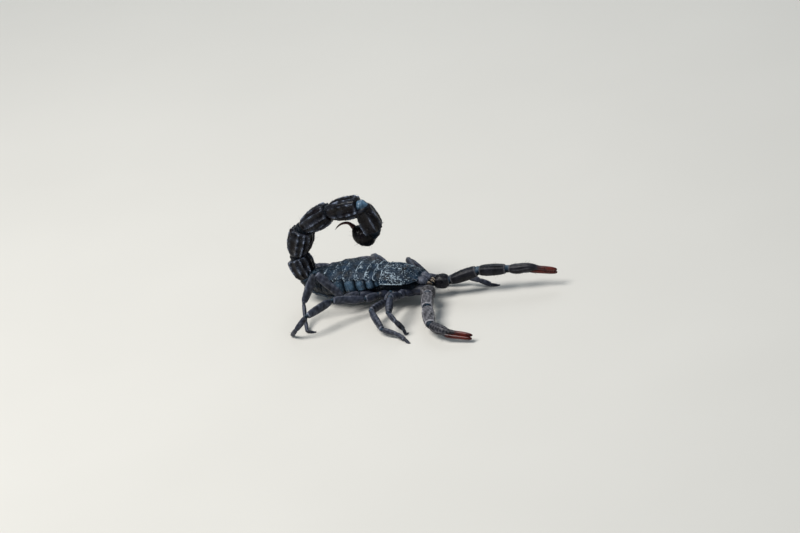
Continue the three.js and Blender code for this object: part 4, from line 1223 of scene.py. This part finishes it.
def make_arm(side):
    root, shoulder, elbow, wrist, palm_end, tip = [np.array(j) for j in ARM_JOINTS[side]]
    right = side == "right"
    seed = 300 if right else 330
    # Sand dust lies on the right arm only. The left fingers are a little stouter, and paler by a painted
    # highlight.
    pale_share = 0.36 if right else 0.0
    stout, rubbed = (1.0, 0.0) if right else (1.14, 0.34)
    look = {"coat": "arms", "material": "arm_shell",
            "grain": {"Spacing": 0.0004, "Density": 6e6, "Size": 0.00013, "Paleness": 0.15 + 0.8 * pale_share,
                      "Seed": seed}}

    upper = arm_segment([towards(root, shoulder, -0.4), towards(shoulder, root, -0.2)], ARM_ROOT_SECTIONS,
                        8, seed + 2, 0.6 * pale_share, ends=5, box=1.0)
    upper.add(arm_segment([towards(shoulder, elbow, 0.1), towards(elbow, shoulder, 0.1)], ARM_UPPER_SECTIONS,
                          15, seed + 4, pale_share))
    finished(upper, f"arm_{side}_upper", "body_shell", f"arm_{side}_femur", **look)

    lower = arm_segment([towards(elbow, wrist, 0.15), towards(wrist, elbow, 0.15)], ARM_MIDDLE_SECTIONS,
                        14, seed + 6, pale_share)
    finished(lower, f"arm_{side}_middle", "body_shell", f"arm_{side}_patella", **look)

    along = unit(tip - palm_end)
    outer = -1 if right else 1
    across = unit(np.cross(UP, along)) * outer
    roll = math.radians(HAND_ROLL[side])
    # The moving finger is on the outer and lower side, so this points from it to the fixed finger.
    apart = unit(np.cross(along, across)) * math.sin(roll) * outer - across * math.cos(roll)
    palm_middle = (wrist + palm_end) / 2
    finger_middle = (palm_end + tip) / 2
    marks = {}

    def hand_relief(s, angle, grid):
        on_palm = smooth_step(s, 0.05, 0.15) * (1 - smooth_step(s, 0.42, 0.52))
        rise = sum(ridge(angle, k, 7) for k in (20, 55, 90, 125, 160, 215, 325)) * on_palm
        edge = ridge(angle, 270, 14) * smooth_step(s, 0.56, 0.6)
        collar = np.exp(-((s - 0.035) / 0.012) ** 2)
        marks["dust"] = np.clip(0.3 * rise * beads(s, 34) + 0.5 * collar + 0.3 * edge * beads(s, 60)
                                + pale_share * (0.25 + 0.4 * wave(grid, 1.2, seed + 10)), 0, 1)
        marks["grain"] = (np.clip(0.3 + 0.3 * wave(grid, 2.0, seed + 9), 0, 1)
                          * (1 - smooth_step(s, 0.42, 0.55)))
        return (1 + 0.035 * rise * beads(s, 34) + 0.14 * edge * beads(s, 60, 0.8) + 0.05 * collar
                + 0.012 * wave(grid, 2.0, seed + 8))

    # The palm and the fixed finger are one surface: the palm is its rings up to this one.
    split = 96
    spread = apart * FINGER_SPREAD
    path = [towards(wrist, palm_middle, 0.2), palm_middle, palm_end + apart * 0.75,
            finger_middle + spread * 0.5, tip + spread * 0.42]
    sections = [[*palm_sizes, neck * stout ** 2, *(stout * size for size in sizes)]
                for palm_sizes, neck, sizes in zip(PALM_SECTIONS, FINGER_NECK, FIXED_FINGER_SECTIONS)]
    grid, ahead = limb(path, *sections, relief=hand_relief, along=170, around=72, ends=18, reference=apart)
    # The lower corner of the palm holds the hinge of the moving finger.
    hinge, hinge_way = limb([palm_middle, palm_end - apart * 0.72 + along * 0.5], *HINGE_SECTIONS,
                            ends=8, along=36, around=44, reference=apart)
    palm = Shape()
    palm.tube(hinge, hinge_way, grain=0.25, hair=0.4, dust=0.15)
    first = [*range(split), split - 1]
    palm.tube(grid[first], ahead[first], dust=marks["dust"][first], grain=marks["grain"][first], hair=0.7)
    finished(palm, f"arm_{side}_palm", "body_shell", f"arm_{side}_hand",
             **{**look, "grain": {**look["grain"], "Paleness": 0.35}})
    rest = [split - 1, *range(split - 1, len(grid))]
    red = smooth_step(np.linspace(0, 1, len(grid))[:, None] + 0.02 * wave(grid, 1.2, seed + 3), 0.56, 0.7)
    fixed = Shape()
    fixed.tube(grid[rest], ahead[rest], dust=(marks["dust"] * (1 - red) + rubbed * red)[rest], red=red[rest],
               hair=0.25)
    finished(fixed, f"arm_{side}_fixed_finger", "finger_and_sting_shell", coat="arms")

    def finger_relief(s, angle, grid):
        return 1 + 0.14 * ridge(angle, 90, 14) * smooth_step(s, 0.2, 0.28) * beads(s, 34, 0.8)

    grid, ahead = limb([palm_end - apart * 0.45 - along * 1.4, palm_end - apart * 0.8 + along * 0.7,
                        finger_middle - spread * 0.5, tip - spread * 0.42],
                       *([stout * size for size in sizes] for sizes in MOVING_FINGER_SECTIONS),
                       relief=finger_relief, along=130, around=40, ends=14, reference=apart)
    s = np.linspace(0, 1, len(grid))[:, None]
    red = smooth_step(s + 0.02 * wave(grid, 1.2, seed + 4), 0.14, 0.32)
    # The moving finger's edge along the gap between the fingers gets a painted highlight.
    edge = ridge(np.arange(40) / 40 * TAU, 90, 30)[None, :] * smooth_step(s, 0.25, 0.35)
    dust = np.clip(0.5 * pale_share * (1 - red) + rubbed * red + 0.8 * edge, 0, 1)
    moving = Shape()
    moving.tube(grid, ahead, dust=dust, red=red, hair=0.25)
    finished(moving, f"arm_{side}_moving_finger", "finger_and_sting_shell", f"arm_{side}_movable_finger",
             coat="arms")

    # The tops of the two outer joint folds get a painted highlight, stronger on the left arm.
    light = 0.06 + 0.6 * rubbed
    fold(bend(root, shoulder, -1.6, shoulder, 1.2), (1.7, 1.7, 1.7, 1.7))
    fold(bend(shoulder, root, 1.0, elbow, 1.2), (1.6, 1.6, 1.55, 1.5))
    fold(bend(elbow, shoulder, 1.1, wrist, 1.2), (1.75, 1.7, 1.75, 1.7), light)
    fold(bend(wrist, elbow, 1.1, palm_middle, 1.3), (1.55, 1.5, 1.4, 1.45), light)


# ---------- legs ----------

def leg_joints(side, index):
    """The joints of a leg from its root. The last segment slopes down to set the toe on the floor."""
    joints = [np.array(LEG_ROOTS[index]) * [1, -1 if side == "left" else 1, 1]]
    lengths, headings, pitches = LEG_LENGTHS[index], LEG_HEADINGS[side][index], LEG_PITCHES[side][index]
    for length, heading, pitch in zip(lengths, np.radians(headings), [*np.radians(pitches), None]):
        if pitch is None:
            pitch = math.asin(max(-1, min(1, (TOE_HEIGHT - joints[-1][2]) / length)))
        level = math.cos(pitch)
        step = np.array([level * math.cos(heading), level * math.sin(heading), math.sin(pitch)])
        joints.append(joints[-1] + step * length)
    joints.append(joints[-1] + unit(step * [1, 1, 0]) * TOE_LENGTH)
    return joints


def leg_segment(start, end, heights, seed, flat=LEG_FLATTENING, edges=0.13, hair=0.4):
    """One leg segment: flattened, with a blunt edge above and below, and a rim at the far end."""
    length = np.linalg.norm(end - start)
    marks = {}

    def relief(s, angle, grid):
        whole = smooth_step(s, 0.08, 0.2) * (1 - smooth_step(s, 0.86, 0.96))
        rise = (ridge(angle, 78, 11) + ridge(angle, 102, 11) + 0.8 * ridge(angle, 270, 12)) * whole
        bead = beads(s, max(4, round(length / 0.6)), 0.35)
        collar = np.exp(-((s - 0.95) / 0.02) ** 2)
        knuckles = (ridge(angle, 0, 24) + ridge(angle, 180, 24)) * np.exp(-((s - 0.955) / 0.035) ** 2)
        marks["dust"] = np.clip(0.35 * rise * bead + 0.6 * collar + 0.2
                                + 0.2 * wave(grid, 1.6, seed + 5), 0, 1)
        return 1 + edges * rise * bead + 0.05 * collar + 0.14 * knuckles + 0.02 * wave(grid, 1.8, seed)

    grid, ahead = limb([start, end], [h * flat for h in heights], heights, relief=relief, along=64, around=52,
                       ends=13, box=0.9, floor=0.0)
    shape = Shape()
    shape.tube(grid, ahead, dust=marks["dust"], hair=hair, grain=0.05)
    return shape


def claws(shape, root, way):
    """A pair of curved claws at the end of a foot."""
    sideways = unit(np.cross(UP, way))
    for side in (-1, 1):
        out = unit(way + sideways * side * 0.5) * CLAW_LENGTH
        points = [root, root + out * 0.5 + UP * CLAW_LENGTH * 0.2, root + out - UP * CLAW_LENGTH * 0.12]
        grid, ahead = limb(points, [0.16, 0.13, 0.08, 0.03], along=18, around=12, ends=20, floor=0.0)
        shape.tube(grid, ahead, dust=0.05)


def make_leg(side, index):
    hip, thigh, knee, shin, ankle, heel, foot, toe = leg_joints(side, index)
    name = f"leg_{side}_{index + 1}"
    seed = 400 + 10 * index + (0 if side == "right" else 50)
    femur, patella = LEG_FEMUR_HALF_HEIGHT[index], LEG_PATELLA_HALF_HEIGHT[index]
    gap = 0.15

    def segment(start, end, before, after, half_height, shares, *rest):
        """From before short of the start joint to after short of the end joint."""
        return leg_segment(towards(start, end, before), towards(end, start, after),
                           [half_height * k for k in shares], *rest)

    upper = segment(hip, thigh, -0.5, gap * 0.5, femur, (0.8, 0.98, 1.02, 0.9), seed, 0.85, 0.05)
    upper.add(segment(thigh, knee, gap * 0.5, gap, femur, (0.78, 0.94, 1.0, 1.04, 0.96), seed + 1))
    finished(upper, f"{name}_thigh", "leg_shell", f"{name}_femur", coat="legs")

    middle = segment(knee, shin, gap, gap, patella, (0.76, 0.98, 1.0, 0.92, 0.78), seed + 2)
    finished(middle, f"{name}_shank", "leg_shell", f"{name}_patella", coat="legs")

    lower = segment(shin, ankle, gap, -0.15, patella, (0.58, 0.64, 0.62, 0.54), seed + 3, 0.8)
    lower.add(segment(ankle, heel, -0.25, -0.2, patella, (0.46, 0.55, 0.54, 0.48), seed + 4, 0.9, 0.05, 0.8))
    grid, ahead = limb([towards(heel, foot, -0.3), foot, toe], [0.5, 0.62, 0.6, 0.42], [0.58, 0.66, 0.6, 0.4],
                       along=40, around=28, ends=8, floor=0.0)
    lower.tube(grid, ahead, dust=0.1, hair=0.9)
    claws(lower, toe - unit(toe - foot) * 0.35 + UP * 0.12, unit((toe - foot) * [1, 1, 0]))
    if index > 1:
        # Only the two hind pairs carry a spur at the end of the tibia.
        below = unit(unit(heel - ankle) * 0.6 - UP)
        grid, ahead = limb([ankle, ankle + below * 1.3], [0.16, 0.12, 0.04], along=14, around=10, ends=20,
                           reference=[1.0, 0.3, 0.0])
        lower.tube(grid, ahead)
    finished(lower, f"{name}_foot", "leg_shell", f"{name}_tarsus", coat="legs")

    fold(bend(hip, thigh, -1.2, thigh, 0.8), (femur * 0.7, femur * 0.75, femur * 0.7, femur * 0.75))
    fold(bend(thigh, hip, 0.7, knee, 0.8), (femur * 0.6, femur * 0.68, femur * 0.5, femur * 0.6))
    fold(bend(knee, thigh, 0.9, shin, 0.9), (femur * 0.52, femur * 0.64, patella * 0.45, patella * 0.55))
    fold(bend(shin, knee, 0.8, ankle, 0.8), (patella * 0.42, patella * 0.5, patella * 0.36, patella * 0.42))


# ---------- coat ----------

def make_bristles():
    """Stiff bristles on the arms, legs, tail and mouth, as thin solid cones."""
    settings = {
        "tail": {"Spacing": 0.0011, "Density": 9e5, "Length": 0.0019, "Lean": 0.6, "Thickness": 0.016},
        "arms": {"Spacing": 0.001, "Density": 8e5, "Length": 0.0016, "Lean": 0.7},
        "legs": {"Spacing": 0.0008, "Density": 1e6, "Length": 0.0012, "Lean": 0.9},
        "head": {"Spacing": 0.0009, "Density": 8e5, "Length": 0.0013, "Lean": 0.7}}
    for number, (part, sizes) in enumerate(settings.items()):
        piece = coats[part].make(f"bristles_{part}", MATERIALS["bristle"], map_name=BAKE_MAP)
        root_map(piece.data)
        grown(piece, BRISTLES, MATERIALS["bristle"], Seed=SEED + 50 + number, **sizes)
        held = piece.data.attributes
        for key in [k for k in ("lie", "root", "patch", "hair", "grain", "red") if k in held]:
            held.remove(held[key])
        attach(piece, "root")


def root_map(mesh):
    """Copies the map's places to a vector on each corner, which the bristles carry from their roots."""
    count = len(mesh.loops)
    places = np.zeros(count * 2, np.float32)
    mesh.uv_layers[BAKE_MAP].data.foreach_get("uv", places)
    deep = np.zeros((count, 3), np.float32)
    deep[:, :2] = places.reshape(-1, 2)
    layer = mesh.attributes.new("root", "FLOAT_VECTOR", "CORNER")
    layer.data.foreach_set("vector", deep.ravel())
    mesh.uv_layers.remove(mesh.uv_layers[BAKE_MAP])


# ---------- stage ----------

def make_stage():
    mesh = bpy.data.meshes.new("floor")
    corners = [(x * FLOOR_REACH, y * FLOOR_REACH, 0) for x, y in ((-1, -1), (1, -1), (1, 1), (-1, 1))]
    mesh.from_pydata(corners, [], [(0, 1, 2, 3)])
    mesh.materials.append(floor_material())
    floor = bpy.data.objects.new("floor", mesh)
    bpy.context.scene.collection.objects.link(floor)
    for light in LIGHTS:
        area_light(*light)
    world = bpy.data.worlds.new("studio_air")
    bpy.context.scene.world = world
    world.use_nodes = True
    air = world.node_tree.nodes["Background"].inputs
    air["Color"].default_value = AIR_COLOUR
    air["Strength"].default_value = AIR_STRENGTH
    bpy.context.scene.view_settings.view_transform = "Standard"


make_camera()
make_carapace()
make_eyes()
make_tergites()
make_sternites()
make_breast()
make_combs()
make_chelicerae()
make_tail()
make_tail_folds()
make_telson()
for limb_side, _ in SIDES:
    make_arm(limb_side)
    for leg_index in range(len(LEG_ROOTS)):
        make_leg(limb_side, leg_index)
make_skin()
make_bristles()
make_stage()
